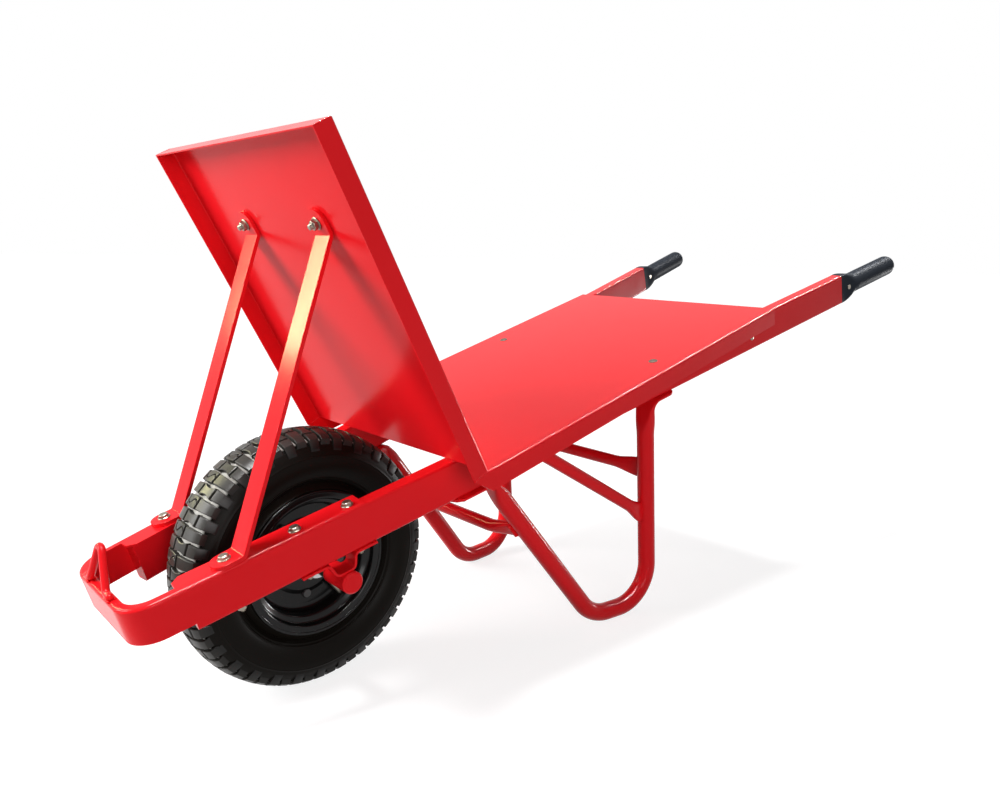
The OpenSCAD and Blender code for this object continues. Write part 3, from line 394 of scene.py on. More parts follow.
def finish_of(name, colour, shade, rough, peel_cells, bump, metal=0.0, gloss_level=0.5, shade_cells=8.0):
    """A finish: the cloudy change mixes two colours and sets the roughness, and the orange peel is its
    bump."""
    material = bpy.data.materials.new(name)
    material.use_nodes = True
    tree = material.node_tree
    shader = tree.nodes["Principled BSDF"]
    shader.inputs["Metallic"].default_value = metal
    shader.inputs["Specular IOR Level"].default_value = gloss_level
    tint = group_node(tree, cloud, Cells=shade_cells, Low=0.0, High=1.0)
    tree.links.new(blend(tree, tint, colour, shade), shader.inputs["Base Color"])
    dull = group_node(tree, cloud, Cells=shade_cells * GLOSS_CELLS_SHARE, Low=rough[0], High=rough[1])
    tree.links.new(dull, shader.inputs["Roughness"])
    bump_node = tree.nodes.new("ShaderNodeBump")
    bump_node.inputs["Strength"].default_value = bump
    bump_node.inputs["Distance"].default_value = BUMP_DEEP * MM
    tree.links.new(group_node(tree, peel, Cells=peel_cells), bump_node.inputs["Height"])
    tree.links.new(bump_node.outputs["Normal"], shader.inputs["Normal"])
    return material


def shade_by_radius(material, low, high, inside):
    """Nearer the axle than low the colour is the inside one, beyond high the finish's own, with an even
    change."""
    tree = material.node_tree
    base = tree.nodes["Principled BSDF"].inputs["Base Color"]
    own = base.links[0].from_socket
    ramp = tree.nodes.new("ShaderNodeMapRange")
    ramp.inputs["From Min"].default_value = low
    ramp.inputs["From Max"].default_value = high
    tree.links.new(group_node(tree, axle_far), ramp.inputs["Value"])
    tree.links.new(blend(tree, ramp.outputs["Result"], inside, own), base)


# %% Finishes
# Radii in metres: beyond the first pair the carcass is painted pale, a painted highlight in the grooves; below the
# second pair the blocks are painted darker, painted shade at their foot.
GROOVE_GLINT_PAINTED_BEYOND, PAINTED_SHADE_AT_BLOCK_FOOT = (0.1862, 0.1885), (0.178, 0.194)
red_coat = finish_of(
    "red powder coat", (0.80, 0.010, 0.016), (0.74, 0.008, 0.012), rough=(0.15, 0.23),
    peel_cells=500, bump=0.10, gloss_level=0.08,
)
black_coat = finish_of(
    "black paint", (0.004, 0.004, 0.004), (0.007, 0.007, 0.007), rough=(0.12, 0.24),
    peel_cells=600, bump=0.2, gloss_level=0.18,
)
zinc_plate = finish_of(
    "zinc plate", (0.31, 0.27, 0.22), (0.20, 0.18, 0.15), rough=(0.22, 0.40),
    peel_cells=2500, bump=0.3, metal=1.0, shade_cells=90,
)
dull_zinc = finish_of(
    "dull zinc", (0.22, 0.17, 0.13), (0.07, 0.05, 0.04), rough=(0.30, 0.40),
    peel_cells=2500, bump=0.1, gloss_level=0.06, shade_cells=220,
)
bright_bar = finish_of(
    "bright bar", (0.45, 0.45, 0.46), (0.36, 0.36, 0.37), rough=(0.25, 0.38),
    peel_cells=2500, bump=0.3, metal=1.0,
)
# This finish's own colours are pale: a painted highlight for the glints in the tread's grooves. Nearer the axle it
# turns to the sidewall's black.
tyre_rubber_and_groove_glint = finish_of(
    "sidewall rubber with painted groove glint", (0.55, 0.54, 0.50), (0.30, 0.29, 0.27), rough=(0.34, 0.46),
    peel_cells=900, bump=0.2, gloss_level=0.05, shade_cells=70,
)
shade_by_radius(tyre_rubber_and_groove_glint, *GROOVE_GLINT_PAINTED_BEYOND, inside=(0.0045, 0.0035, 0.0025))
# The blocks are painted darker towards their foot: painted shade in the grooves between them.
tread_rubber = finish_of(
    "tread rubber", (0.016, 0.015, 0.013), (0.034, 0.032, 0.028), rough=(0.28, 0.42),
    peel_cells=900, bump=0.3, gloss_level=0.18, shade_cells=60,
)
shade_by_radius(tread_rubber, *PAINTED_SHADE_AT_BLOCK_FOOT, inside=(0.004, 0.0037, 0.0033))
black_bolt = finish_of(
    "black bolt", (0.02, 0.02, 0.02), (0.03, 0.03, 0.03), rough=(0.12, 0.22),
    peel_cells=600, bump=0.2, gloss_level=0.4,
)
tube_rubber = finish_of(
    "tube rubber", (0.02, 0.02, 0.02), (0.03, 0.03, 0.03), rough=(0.5, 0.6),
    peel_cells=900, bump=0.3, gloss_level=0.2,
)
grip_rubber = finish_of(
    "grip rubber", (0.028, 0.033, 0.043), (0.034, 0.040, 0.051), rough=(0.42, 0.50),
    peel_cells=1400, bump=0.03, gloss_level=0.01, shade_cells=12,
)

slot_finish = {
    "red_paint": red_coat, "black_paint": black_coat, "zinc": zinc_plate, "steel": bright_bar,
    "tyre": tyre_rubber_and_groove_glint, "tube_rubber": tube_rubber, "grip_rubber": grip_rubber,
}
for part in frame["record"]["subparts"]:
    mesh = nodes[part["node"]].data
    mesh.materials.clear()
    mesh.materials.append(slot_finish[part["material_slot"]])
print("finishes of the CAD parts", len(slot_finish))

# %% [markdown]
# ## The camera
# The photograph was matched first: the camera stands ahead of the cart on its near side, a little lower
# than the headboard's top, and looks down by about eleven degrees. Its heading, pitch and roll make three
# axes, and the small shift puts the centre of view where the photograph has it.

# %% Camera
PICTURE_W, PICTURE_H = 1000, 794
FOCAL_PX, CENTRE_X_PX, CENTRE_Y_PX = 793.85, 510.57, 412.11
SENSOR = 36
EYE_X, EYE_AHEAD, EYE_Z = 1059.4, 562.1, 667.5
heading, pitch, roll = np.radians([46.831, 11.527, 1.294])
forward = np.array([-np.sin(heading) * np.cos(pitch), np.cos(heading) * np.cos(pitch), -np.sin(pitch)])
right = np.array([np.cos(heading), np.sin(heading), 0])
over = np.cross(right, forward)
cam_x = np.cos(roll) * right + np.sin(roll) * over
cam_y = np.cos(roll) * over - np.sin(roll) * right
cam = bpy.data.cameras.new("camera")
cam.sensor_width = SENSOR
cam.lens = FOCAL_PX * SENSOR / PICTURE_W
cam.shift_x = (PICTURE_W / 2 - CENTRE_X_PX) / PICTURE_W
cam.shift_y = (CENTRE_Y_PX - PICTURE_H / 2) / PICTURE_W
cam.clip_start = 0.01
camera = bpy.data.objects.new("camera", cam)
bpy.context.scene.collection.objects.link(camera)
axes = np.stack([cam_x, cam_y, -forward], axis=1)
eye = np.array([EYE_X, axle_y - EYE_AHEAD, EYE_Z]) * MM
camera.matrix_world = Matrix([[*axes[i], eye[i]] for i in range(3)] + [[0, 0, 0, 1]])
bpy.context.scene.camera = camera
print("lens", round(cam.lens, 2), "mm")

# %% [markdown]
# ## The deck
# The deck is one sheet with a skirt folded down each side. Its section is a closed loop, out over the top
# and back along the underside, with a round at each fold, and only its width changes from front to rear.
# So the loop is written from the edge inwards and carried along the slope. A small ear closes each front
# corner, below the headboard.

# %% Deck
DECK_LENGTH, DECK_FRONT_W, DECK_REAR_W, SKIRT = 763, 477, 513, 33
FOLD_R, FOLD_REACH = 4.0, 20
BOARD_HALF, BOARD_FLANGE, EAR_LIFT = DECK_FRONT_W / 2, 29, 0.2


def fold_loop(depth):
    """Half of a folded section, from the edge inwards: up the outside and round the fold, then the inside
    back."""
    out = rounded([[0, -depth], [0, 0], [FOLD_REACH, 0]], [FOLD_R])[:-1]
    back = rounded([[FOLD_REACH, -SHEET], [SHEET, -SHEET], [SHEET, -depth]], [FOLD_R - SHEET])[1:]
    return out, back


s = np.linspace(DECK_FRONT, DECK_FRONT + DECK_LENGTH, 9)
out, back = fold_loop(SKIRT)
half = np.interp(s, s[[0, -1]], [DECK_FRONT_W / 2, DECK_REAR_W / 2])[:, None]
top_x = [half - out[:, 0], -half + out[::-1, 0]]
under_x = [-half + back[::-1, 0], half - back[:, 0]]
x = np.concatenate(top_x + under_x, axis=1)
n = np.concatenate([out[:, 1], out[::-1, 1], back[::-1, 1], back[:, 1]])
deck_skins = [skin(deck_point(x, s[:, None], n[None] + SHEET))]
for side in (1, -1):
    ear = np.stack([
        board_point(side * BOARD_HALF, 0, EAR_LIFT),
        board_point(side * BOARD_HALF, BOARD_FLANGE, EAR_LIFT),
        deck_point(side * BOARD_HALF, DECK_FRONT, SHEET - SKIRT),
    ])
    deck_skins.append(skin(np.stack([ear, ear - [side * SHEET * MM, 0, 0]])))
make("deck_sheet", deck_skins, red_coat, stands_for=["deck"], flat=True)

# %% [markdown]
# ## The headboard
# The headboard is a shallow pan: its two sides and its top are folded forward, and the folds meet in a
# mitre at the corners. So one folded section is carried up one side, across the top and down the other,
# like a picture frame, and the panel fills the opening. At the corners the section is drawn in both ways
# at once, which makes the mitre.

# %% Headboard
BOARD_FOOT, BOARD_TALL = 0.3, 515.0


def frame_run(x, e, in_x, in_e):
    """A stretch of the pan's edge: across, up, and the two ways in which the section is drawn in
    there."""
    return np.stack(np.broadcast_arrays(*np.atleast_1d(x, e, in_x, in_e)), axis=1)


out, back = fold_loop(BOARD_FLANGE)
section = np.concatenate([out, back])
rise, run = np.linspace(BOARD_FOOT, BOARD_TALL, 8), np.linspace(BOARD_HALF, -BOARD_HALF, 8)
edge = np.concatenate([
    frame_run(BOARD_HALF, rise[:-1], -1, 0), frame_run(BOARD_HALF, BOARD_TALL, -1, -1),
    frame_run(run[1:-1], BOARD_TALL, 0, -1), frame_run(-BOARD_HALF, BOARD_TALL, 1, -1),
    frame_run(-BOARD_HALF, rise[-2::-1], 1, 0),
])
edge_x, edge_e, in_x, in_e = edge.T[:, :, None]
inset, deep = section[:, 0], -section[:, 1]
points = board_point(edge_x + in_x * inset, deep + 0 * edge_x, edge_e + in_e * inset)
verts, faces = skin(points)
panel_back = [row * len(section) + len(out) - 1 for row in range(len(edge))]
panel_front = [i + 1 for i in panel_back]
inner = set(panel_back + panel_front)
faces = [f for f in faces if not set(f) <= inner]
faces += [panel_back, panel_front[::-1], [panel_back[0], panel_front[0], panel_front[-1], panel_back[-1]]]
make("headboard_pan", [(verts, faces)], red_coat, stands_for=["headboard"], flat=True)

# %% [markdown]
# ## The struts
# A strut is flat bar, cut off round at both ends and bent twice: its foot lies on the guard, and its top
# lies on the panel. The section has small rounds on its corners, because rolled bar always has them and
# they catch the light. The width falls to nothing over the last half width at each end, by the formula of
# a circle, which rounds the ends.

# %% Struts
STRUT_X, STRUT_W, STRUT_T, STRUT_BEND = 104.95, 38.5, 6.0, 7
FOOT_BOLT, TOP_BOLT, TAB, TAB_BELOW = -143, 389, 20, 18
GUARD_T = 3.5


def board_line(f, e):
    """A point of the headboard's side view, along the slope and up from it."""
    return [DECK_FRONT - f * np.cos(LEAN) - e * np.sin(LEAN), SHEET - f * np.sin(LEAN) + e * np.cos(LEAN)]


foot_n, top_f = GUARD_T + STRUT_T / 2, SHEET + STRUT_T / 2
strut_line = [
    [FOOT_BOLT - TAB, foot_n], [FOOT_BOLT + TAB, foot_n],
    board_line(top_f, TOP_BOLT - TAB_BELOW), board_line(top_f, TOP_BOLT + TAB),
]
path, far = refine(rounded(strut_line, [STRUT_BEND, STRUT_BEND], 6), 12, STRUT_W / 2)
wide = STRUT_W * half_round(np.minimum(far, far[-1] - far), STRUT_W / 2)
for side, label in SIDES:
    line = deck_point(side * STRUT_X, path[:, 0], path[:, 1])
    bar = skin(sweep(line, np.tile([1.0, 0, 0], (len(line), 1)), bar_ring(wide, STRUT_T) * MM))
    shown = ["strut_" + label]
    make("strut_bar_" + label, [bar], red_coat, stands_for=shown, crease=40, flat=True)

# %% [markdown]
# ## The front guard
# The guard is an angle iron bent round the nose of the cart. Its path is the plan of its outer face: back
# along one rail, round a corner, across the nose and back along the other rail. The section's flange is
# wide over the rails and only a lip round the nose, so its width is a function of the way along the path.

# %% Guard
GUARD_REAR, GUARD_NOSE, GUARD_CORNER, GUARD_DEEP = 50, -278, 45.0, 49
FLANGE_W, FLANGE_CUT_W, LIP_W = 40, 29, 13
FLANGE_LONG, FLANGE_CUT, EDGE = 264.0, 11, 0.02
HEEL_OUT_R, HEEL_IN_R, HEEL_REACH = 5.0, 1.6, 12
side_x = RAIL_X + (RAIL_W / 2 + GUARD_T) / np.cos(SPLAY)
plan = [[side_x + along * np.tan(SPLAY), along] for along in (GUARD_REAR, GUARD_NOSE)]
plan = plan + [[-x, along] for x, along in plan[::-1]]
path, far = refine(rounded(plan, [GUARD_CORNER, GUARD_CORNER], 20), 6)
marks = np.array([FLANGE_LONG - FLANGE_CUT, FLANGE_LONG - EDGE, FLANGE_LONG, FLANGE_LONG + EDGE])
all_far = np.unique(np.concatenate([far, marks, far[-1] - marks]))
path = np.stack([np.interp(all_far, far, path[:, k]) for k in (0, 1)], axis=1)
from_end = np.minimum(all_far, all_far[-1] - all_far)
flange_marks = [0, FLANGE_LONG - FLANGE_CUT, FLANGE_LONG, FLANGE_LONG + EDGE]
flange = np.interp(from_end, flange_marks, [FLANGE_W, FLANGE_W, FLANGE_CUT_W, LIP_W])
way = np.gradient(path, axis=0)
way /= np.linalg.norm(way, axis=1, keepdims=True)
inward = np.stack([way[:, 1], -way[:, 0]], axis=1)
heel_out = rounded([[0, -GUARD_DEEP], [0, GUARD_T], [HEEL_REACH, GUARD_T]], [HEEL_OUT_R])[:-1]
heel_in = rounded([[HEEL_REACH, 0], [GUARD_T, 0], [GUARD_T, -GUARD_DEEP]], [HEEL_IN_R])[1:]
fixed = np.concatenate([heel_out[:, 0], [0, 0], heel_in[:, 0]])
at_flange = np.concatenate([np.zeros(len(heel_out)), [1, 1], np.zeros(len(heel_in))])
loop_n = np.concatenate([heel_out[:, 1], [GUARD_T, 0], heel_in[:, 1]])
inset = np.where(at_flange > 0, flange[:, None], fixed)
outer = path[:, None] + inset[..., None] * inward[:, None]
angle_iron = skin(deck_point(outer[..., 0], outer[..., 1], loop_n))
make("guard_angle", [angle_iron], red_coat, stands_for=["front_guard"], flat=True)

# %% [markdown]
# ## The hoop
# A round rod, bent to a peak with two short feet, is welded on the nose's lip and leans back a little. It
# is a rod along a rounded line, with half round ends, and each foot has a bead on both sides.

# %% Hoop
HOOP_R, HOOP_BEND, HOOP_TIP = 5, 10, 6
HOOP_FOOT, HOOP_HALF, HOOP_TALL = 51, 33, 64
HOOP_S, HOOP_N, HOOP_LEAN = -272, 7.6, TILT + np.radians(7)
HOOP_WELD_R, HOOP_WELD_S, HOOP_WELD_N, HOOP_WELD_OVER = 1.8, 4.4, 3.9, 1
hoop_corners = [[-HOOP_FOOT, 0], [-HOOP_HALF, 0], [0, HOOP_TALL], [HOOP_HALF, 0], [HOOP_FOOT, 0]]
line, far = refine(rounded(hoop_corners, [HOOP_BEND] * 3), 5, HOOP_TIP)
up = line[:, 1]
hoop_path = deck_point(line[:, 0], HOOP_S + up * np.sin(HOOP_LEAN), HOOP_N + up * np.cos(HOOP_LEAN))
tip = half_round(np.minimum(far, far[-1] - far), HOOP_TIP)
hoop = rod(hoop_path, HOOP_R * tip, deck_point(0, 1, 0) - deck_point(0, 0, 0))
foot = np.linspace(HOOP_HALF - HOOP_WELD_OVER, HOOP_FOOT + HOOP_WELD_OVER, 6)
welds = [
    bead(deck_point(side * foot, HOOP_S + edge_s, HOOP_WELD_N), HOOP_WELD_R, [0, 0, 1])
    for side in (1, -1) for edge_s in (-HOOP_WELD_S, HOOP_WELD_S)
]
make("hoop_rod", [hoop], red_coat, stands_for=["front_hoop"], crease=60)
make("hoop_welds", welds, red_coat, crease=60)

# %% [markdown]
# ## Legs and braces
# Each leg is one tube, bent to a U and pressed flat at both ends. The path lies in the leg's upright
# plane. Along it the section is a ring whose width, height and squareness change: round in the tube, and
# wide, thin and boxy in the tab, with the tab's end drawn in to a half round. A brace has one end like
# that, and its other end is pressed to a fishtail where it meets the post.

# %% Pressed tubes
rail_across = np.array([np.cos(SPLAY), -np.sin(SPLAY) * np.cos(TILT), -np.sin(SPLAY) * np.sin(TILT)])
leg_across = np.array([np.cos(TURN), -np.sin(TURN), 0])
ROUND, TAB_BOXY, TAIL_BOXY = 2, 5, 1.5


def under_rail(along, thick):
    """A point on the middle line of a tab that lies under the rail."""
    h = along * np.cos(RISE)
    return np.array([h, h * np.tan(RISE) - thick / 2 / np.cos(RISE)])


def pressed_tube(points, radii, size, tab, flat, ends, side, tail=None):
    """A tube along a bent path whose ends are pressed flat: flat is the length of each tab and of its
    fade-out. A tail is an end that is pressed the other way, to a length, a height and a thickness."""
    line, far = refine(rounded(points, radii, 14), 5)
    press = np.zeros(len(far))
    width = np.full(len(far), float(size))
    for which, (keep, fade) in zip(ends, flat):
        away = far if which == "start" else far[-1] - far
        p = 1 - ease((away - keep) / fade)
        press = np.maximum(press, p)
        round_end = half_round(away, tab[0] / 2, least=0.002)
        width = np.where(p > 0, (size + (tab[0] - size) * p) * round_end, width)
    height = size + (tab[1] - size) * press
    fish = np.zeros(len(far))
    if tail:
        fish = 1 - ease((far[-1] - far) / tail[0])
        width, height = width + (tail[2] - width) * fish, height + (tail[1] - height) * fish
    ring = super_ring(width, height, ROUND + TAB_BOXY * press + TAIL_BOXY * fish, 36) * MM
    across = press[:, None] * rail_across + (1 - press[:, None]) * leg_across
    across = across / np.linalg.norm(across, axis=1, keepdims=True) * [side, 1, 1]
    return skin(sweep(leg_point(0, line[:, 0], line[:, 1], side), across, ring))


# %% Legs and braces
TAB_T, REAR_TAB_T = 5, 4
LEG_D, LEG_TAB = 32, (43, TAB_T)
LEG_BENDS, LEG_FLATS = [16, 80, 70, 22], [(62, 62), (50, 70)]
TOE_H, HEEL_H, ARM_TOP_H, POST_TOP_H = 489, 632, 256, 597
FRONT_TAB_END, REAR_TAB_END = 191, 683
BRACE_D, BRACE_TAB = 22, (30, TAB_T)
BRACE_BENDS, BRACE_FLATS, BRACE_TAIL = [10], [(34, 34)], (44, 35, 9)
BRACE_TAB_END, BRACE_TOP, BRACE_LOW_Z, BRACE_SHORT = 311, 376, 185, 13
ground = -WHEEL_R - (AXLE_DROP - RAIL_H) * np.cos(TILT)
toe, heel = [np.array([h, ground + LEG_D / 2]) for h in (TOE_H, HEEL_H)]
arm_top, post_top = [under_rail(h / np.cos(RISE), TAB_T) for h in (ARM_TOP_H, POST_TOP_H)]
leg_front, leg_rear = under_rail(FRONT_TAB_END, TAB_T), under_rail(REAR_TAB_END, REAR_TAB_T)
leg_line = [leg_front, arm_top, toe, heel, post_top, leg_rear]
down_post = (ground + BRACE_LOW_Z - post_top[1]) / (heel[1] - post_top[1])
brace_top, brace_low = under_rail(BRACE_TOP, TAB_T), post_top + (heel - post_top) * down_post
brace_way = (brace_low - brace_top) / np.linalg.norm(brace_low - brace_top)
brace_low = brace_low - brace_way * BRACE_SHORT
brace_line = [under_rail(BRACE_TAB_END, TAB_T), brace_top, brace_low]
for side, label in SIDES:
    tube = pressed_tube(leg_line, LEG_BENDS, LEG_D, LEG_TAB, LEG_FLATS, ("start", "end"), side)
    make("leg_tube_" + label, [tube], red_coat, stands_for=["leg_" + label], crease=60)
    tube = pressed_tube(
        brace_line, BRACE_BENDS, BRACE_D, BRACE_TAB, BRACE_FLATS, ("start",), side, tail=BRACE_TAIL
    )
    make("brace_tube_" + label, [tube], red_coat, stands_for=["leg_brace_" + label], crease=60)

# %% [markdown]
# ## Ties and welds
# The two ties are tubes across the cart. Their ends are pressed to a fishtail, tall along the leg and
# thin across it, and welded on. The front tie's ends also lean over, to lie against the arms. A tie is a
# loft between the legs whose height, thickness and place change near both ends, and each weld is a bead
# down both faces of its fishtail. The last beads close the seams of the headboard, at its foot and at its
# top corners.

# %% Ties
TIE_D, TIE_FADE, TIE_SINK = 22, 60, 0.002
TIE_WELD_R, TIE_WELD_IN, TIE_WELD_SHARE = 2.0, 0.003, 0.45
# Height, thickness and lean of the pressed ends
FRONT_TIE, REAR_TIE = (32, 10, 8), (38, 9, 0)


def leg_way(low, high):
    """The direction of a straight run of a leg, in metres, on the left side."""
    run = leg_point(0, high[0], high[1]) - leg_point(0, low[0], low[1])
    return run / np.linalg.norm(run)


def fishtail_tube(a, b, up_a, up_b, lean, tall, thin):
    """A tube from a to b: near each end its height grows along the leg, its thickness falls and it leans
    over."""
    length = np.linalg.norm(b - a) / MM
    fade = np.linspace(0, TIE_FADE, 21)
    t = np.unique(np.concatenate([fade, np.linspace(TIE_FADE, length - TIE_FADE, 8), length - fade]))
    fish = 1 - ease(np.minimum(t, length - t) / TIE_FADE)
    up = np.where((t < length / 2)[:, None], up_a, up_b)
    along = (b - a) / np.linalg.norm(b - a)
    up = up - (up @ along)[:, None] * along
    up /= np.linalg.norm(up, axis=1, keepdims=True)
    wide, high = TIE_D + (tall - TIE_D) * fish, TIE_D + (thin - TIE_D) * fish
    ring = super_ring(wide, high, ROUND + TAIL_BOXY * fish) * MM
    return skin(sweep(a + t[:, None] * MM * along + fish[:, None] * lean, up, ring))


post_up, arm_up = leg_way(heel, post_top), leg_way(toe, arm_top)
welds = []
ties = (("leg_tie_front", arm_up, FRONT_TIE), ("leg_tie_rear", post_up, REAR_TIE))
for name, up, (tall, thin, over) in ties:
    low, high = np.array(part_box(name)[0]), np.array(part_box(name)[1])
    end_b = (low + high) / 2
    end_b[0] = high[0] - TIE_SINK
    end_a = end_b * [-1, 1, 1]
    lean = np.array([0, up[2], -up[1]]) * over * MM
    tube = fishtail_tube(end_a, end_b, up * [-1, 1, 1], up, lean, tall, thin)
    make(name.replace("leg_", "") + "_tube", [tube], red_coat, stands_for=[name], crease=60)
    for end, hand in ((end_a, -1), (end_b, 1)):
        way = up * [hand, 1, 1]
        out = np.cross(way, [1, 0, 0])
        out /= np.linalg.norm(out)
        run = way * np.linspace(-TIE_WELD_SHARE, TIE_WELD_SHARE, 9)[:, None] * tall * MM
        for face in (-1, 1):
            mid = end + lean + out * face * thin / 2 * MM - np.array([hand * TIE_WELD_IN, 0, 0])
            welds.append(bead(mid + run, TIE_WELD_R, [1, 0, 0]))

# %% Other welds
BRACE_WELD_R, BRACE_WELD_HALF, BRACE_WELD_OUT = 2.6, 0.017, 0.0045
SEAM_R, SEAM_X, SEAM_E = 1.7, BOARD_HALF - 1, 0.6
CORNER_R, CORNER_X, CORNER_E = 0.9, BOARD_HALF - 0.6, BOARD_TALL - 0.6
foot_run, corner_run = np.linspace(1, BOARD_FLANGE, 9), np.linspace(BOARD_FLANGE - 1, 3, 9)
for side in (1, -1):
    foot = leg_point(0, brace_low[0], brace_low[1], side)
    run = post_up * [side, 1, 1] * np.linspace(-BRACE_WELD_HALF, BRACE_WELD_HALF, 9)[:, None]
    for face in (-1, 1):
        mid = foot + leg_across * [side, 1, 1] * BRACE_WELD_OUT * face
        welds.append(bead(mid + run, BRACE_WELD_R, [0, 1, 0]))
    welds.append(bead(board_point(side * SEAM_X, foot_run, SEAM_E), SEAM_R, [1, 0, 0]))
    welds.append(bead(board_point(side * CORNER_X, corner_run, CORNER_E), CORNER_R, [1, 0.3, 0]))
make("frame_welds", welds, red_coat, crease=60)

# %% [markdown]
# ## The tyre's carcass
# The carcass is a surface of revolution: a wide arc under the tread, a round sidewall with three moulded
# rings, the bead that sits on the rim, and the hollow inside. One closed loop of points is turned round
# the axle.

# %% Tyre carcass
CROWN_HALF, CROWN_OVER, CROWN_ARC = 40, 0.5, 110.0
SHOULDER_FALL_SHARE, SHOULDER_OUT_SHARE = 0.93, 0.36
TREAD_DEEP = 6
WALL_R, WALL_X, WALL_ROUND = 156, 8, 42
WALL_LOW, WALL_HIGH = 118, 186
WALL_ARC = np.radians([46, -52])
WALL_RINGS = ((166, 0.9, 0.8), (131, 1.0, 0.9), (127.5, 0.8, 0.7))


def crown(v):
    """The outline of the tread: a wide arc across the crown, then a straight slope down the shoulder."""
    v = np.asarray(v, float)
    a = np.minimum(np.abs(v), CROWN_HALF)
    over = np.maximum(np.abs(v) - CROWN_HALF, 0)
    r = WHEEL_R - CROWN_ARC + np.sqrt(CROWN_ARC**2 - a**2) - SHOULDER_FALL_SHARE * over
    return r, np.sign(v) * (a + SHOULDER_OUT_SHARE * over)


def ridge(r, centre, width, height):
    """A moulded ring: a smooth bump of a width and a height."""
    return height * np.exp(-(((r - centre) / width) ** 2))


top_r, top_x = crown(np.linspace(-CROWN_HALF - CROWN_OVER, CROWN_HALF + CROWN_OVER, 31))
a = np.linspace(*WALL_ARC, 70)
wall_r, wall_x = WALL_R + WALL_ROUND * np.sin(a), WALL_X + WALL_ROUND * np.cos(a)
wall_x = wall_x + sum(ridge(wall_r, *ring) for ring in WALL_RINGS)
keep = (wall_r > WALL_LOW) & (wall_r < WALL_HIGH)
bead_r = [114, 111.6, 111.5, 101.5, 101.5, WALL_LOW, 150, WALL_HIGH]
bead_x = [42.6, 42.1, 42, 42, 33, 32, 38, 20]
side_r, side_x = np.concatenate([wall_r[keep], bead_r]), np.concatenate([wall_x[keep], bead_x])
loop_r = np.concatenate([top_r - TREAD_DEEP, side_r, side_r[::-1]])
loop_x = np.concatenate([top_x, side_x, -side_x[::-1]])
turn = np.linspace(0, 2 * np.pi, 181)[:-1]
carcass = skin(wheel_point(loop_x[None], loop_r[None], turn[:, None]), around=True, along=True)
make("tyre_carcass", [carcass], tyre_rubber_and_groove_glint, "wheel", ["tyre"], crease=40)

# %% [markdown]
# ## The tread
# The tread stands on the carcass as blocks: a row split by a curved slit and a row with a waist in the
# middle, and two rows of plain lugs on each shoulder, the outer ones running down the side. Each block is
# an outline on the unrolled tread, raised in three levels and rolled back round the wheel.

# %% Tread blocks
PITCHES, GAP = 30, 4.2
PITCH = 2 * np.pi * WHEEL_R / PITCHES
BLOCK_DEEP, BLOCK_DRAFT = 7.5, 0.9
BLOCK_EDGE, BLOCK_EDGE_IN, BLOCK_EDGE_DEEP = 0.8, 0.7, 0.5


def blocks(across, low, high, offset):
    """Copies of one block round the wheel. Rows run across the tread; in each row the block goes from a
    low to a high place round the wheel. Its edges have a small chamfer and its walls go down past the
    floor."""
    first, last = across[0], across[-1]
    across = np.concatenate([[first - BLOCK_DRAFT, first], across, [last, last + BLOCK_DRAFT]])
    low, high = [np.concatenate([[v[0], v[0]], v, [v[-1], v[-1]]]) for v in (low, high)]
    levels = np.array([-BLOCK_DEEP, -BLOCK_EDGE_DEEP, 0, 0, -BLOCK_EDGE_DEEP, -BLOCK_DEEP])
    drop = np.tile(levels, (len(across), 1))
    drop[[0, -1]] = -BLOCK_DEEP
    drop[[1, -2]] = np.minimum(drop[[1, -2]], -BLOCK_EDGE_DEEP)
    inner = across.copy()
    inner[2], inner[-3] = across[2] + BLOCK_EDGE_IN, across[-3] - BLOCK_EDGE_IN
    start = [low - BLOCK_DRAFT, low, low + BLOCK_EDGE]
    finish = [high - BLOCK_EDGE, high, high + BLOCK_DRAFT]
    around = np.stack(start + finish, axis=1)
    r, x = crown(inner)
    angle = around / WHEEL_R + (np.arange(PITCHES)[:, None, None] + offset) * 2 * np.pi / PITCHES
    points = wheel_point(x[None, :, None], r[None, :, None] + drop[None], angle)
    grid = np.array(skin(points[0], around=False, caps=False)[1])
    size = grid.max() + 1
    faces = (grid[None] + size * np.arange(PITCHES)[:, None, None]).reshape(-1, 4).tolist()
    return points.reshape(-1, 3), faces


MIDDLE_W, SLIT_FROM, WAIST_FROM = 28, -23, -5
SLIT_SWING, SLIT_HALF, BULGE, WAIST_MORE, WAIST_IN = 4.2, 0.9, 1.2, 0.6, 3.4
LUG_INNER, LUG_OUTER, LUG_TAPER = (9.5, 34), (27, 30), 0.8
half_len = (PITCH / 2 - GAP) / 2
t = np.linspace(0, 1, 8)
slit = SLIT_SWING * np.sin(2 * np.pi * t)
bulge = half_len + BULGE * np.sin(np.pi * t)
waist = half_len + WAIST_MORE - WAIST_IN * np.sin(np.pi * t)
slit_across, waist_across = SLIT_FROM + MIDDLE_W * t, WAIST_FROM + MIDDLE_W * t
tread = [
    blocks(slit_across, -bulge, slit - SLIT_HALF, 0.0),
    blocks(slit_across, slit + SLIT_HALF, bulge, 0.0),
    blocks(waist_across, -waist, waist, 0.5),
]
k = np.linspace(0, 1, 5)
lug = half_len - LUG_TAPER * k
for hand, shift in ((1, 0.0), (-1, 0.5)):
    for (start, long), more in ((LUG_INNER, 0.0), (LUG_OUTER, 0.5)):
        across = hand * (start + long * k)
        tread.append(blocks(across[::hand], -lug[::hand], lug[::hand], shift + more))
make("tyre_tread", tread, tread_rubber, "wheel", crease=25)

# %% [markdown]
# ## Rims
# The wheel is two steel pressings, bolted disc to disc. Each is a profile turned round the axle, with a
# round at each press line and a rolled edge that takes the light. The profile goes out along the inner
# face, round the flange and back along the outer face, as radius and distance from the middle of the
# wheel.

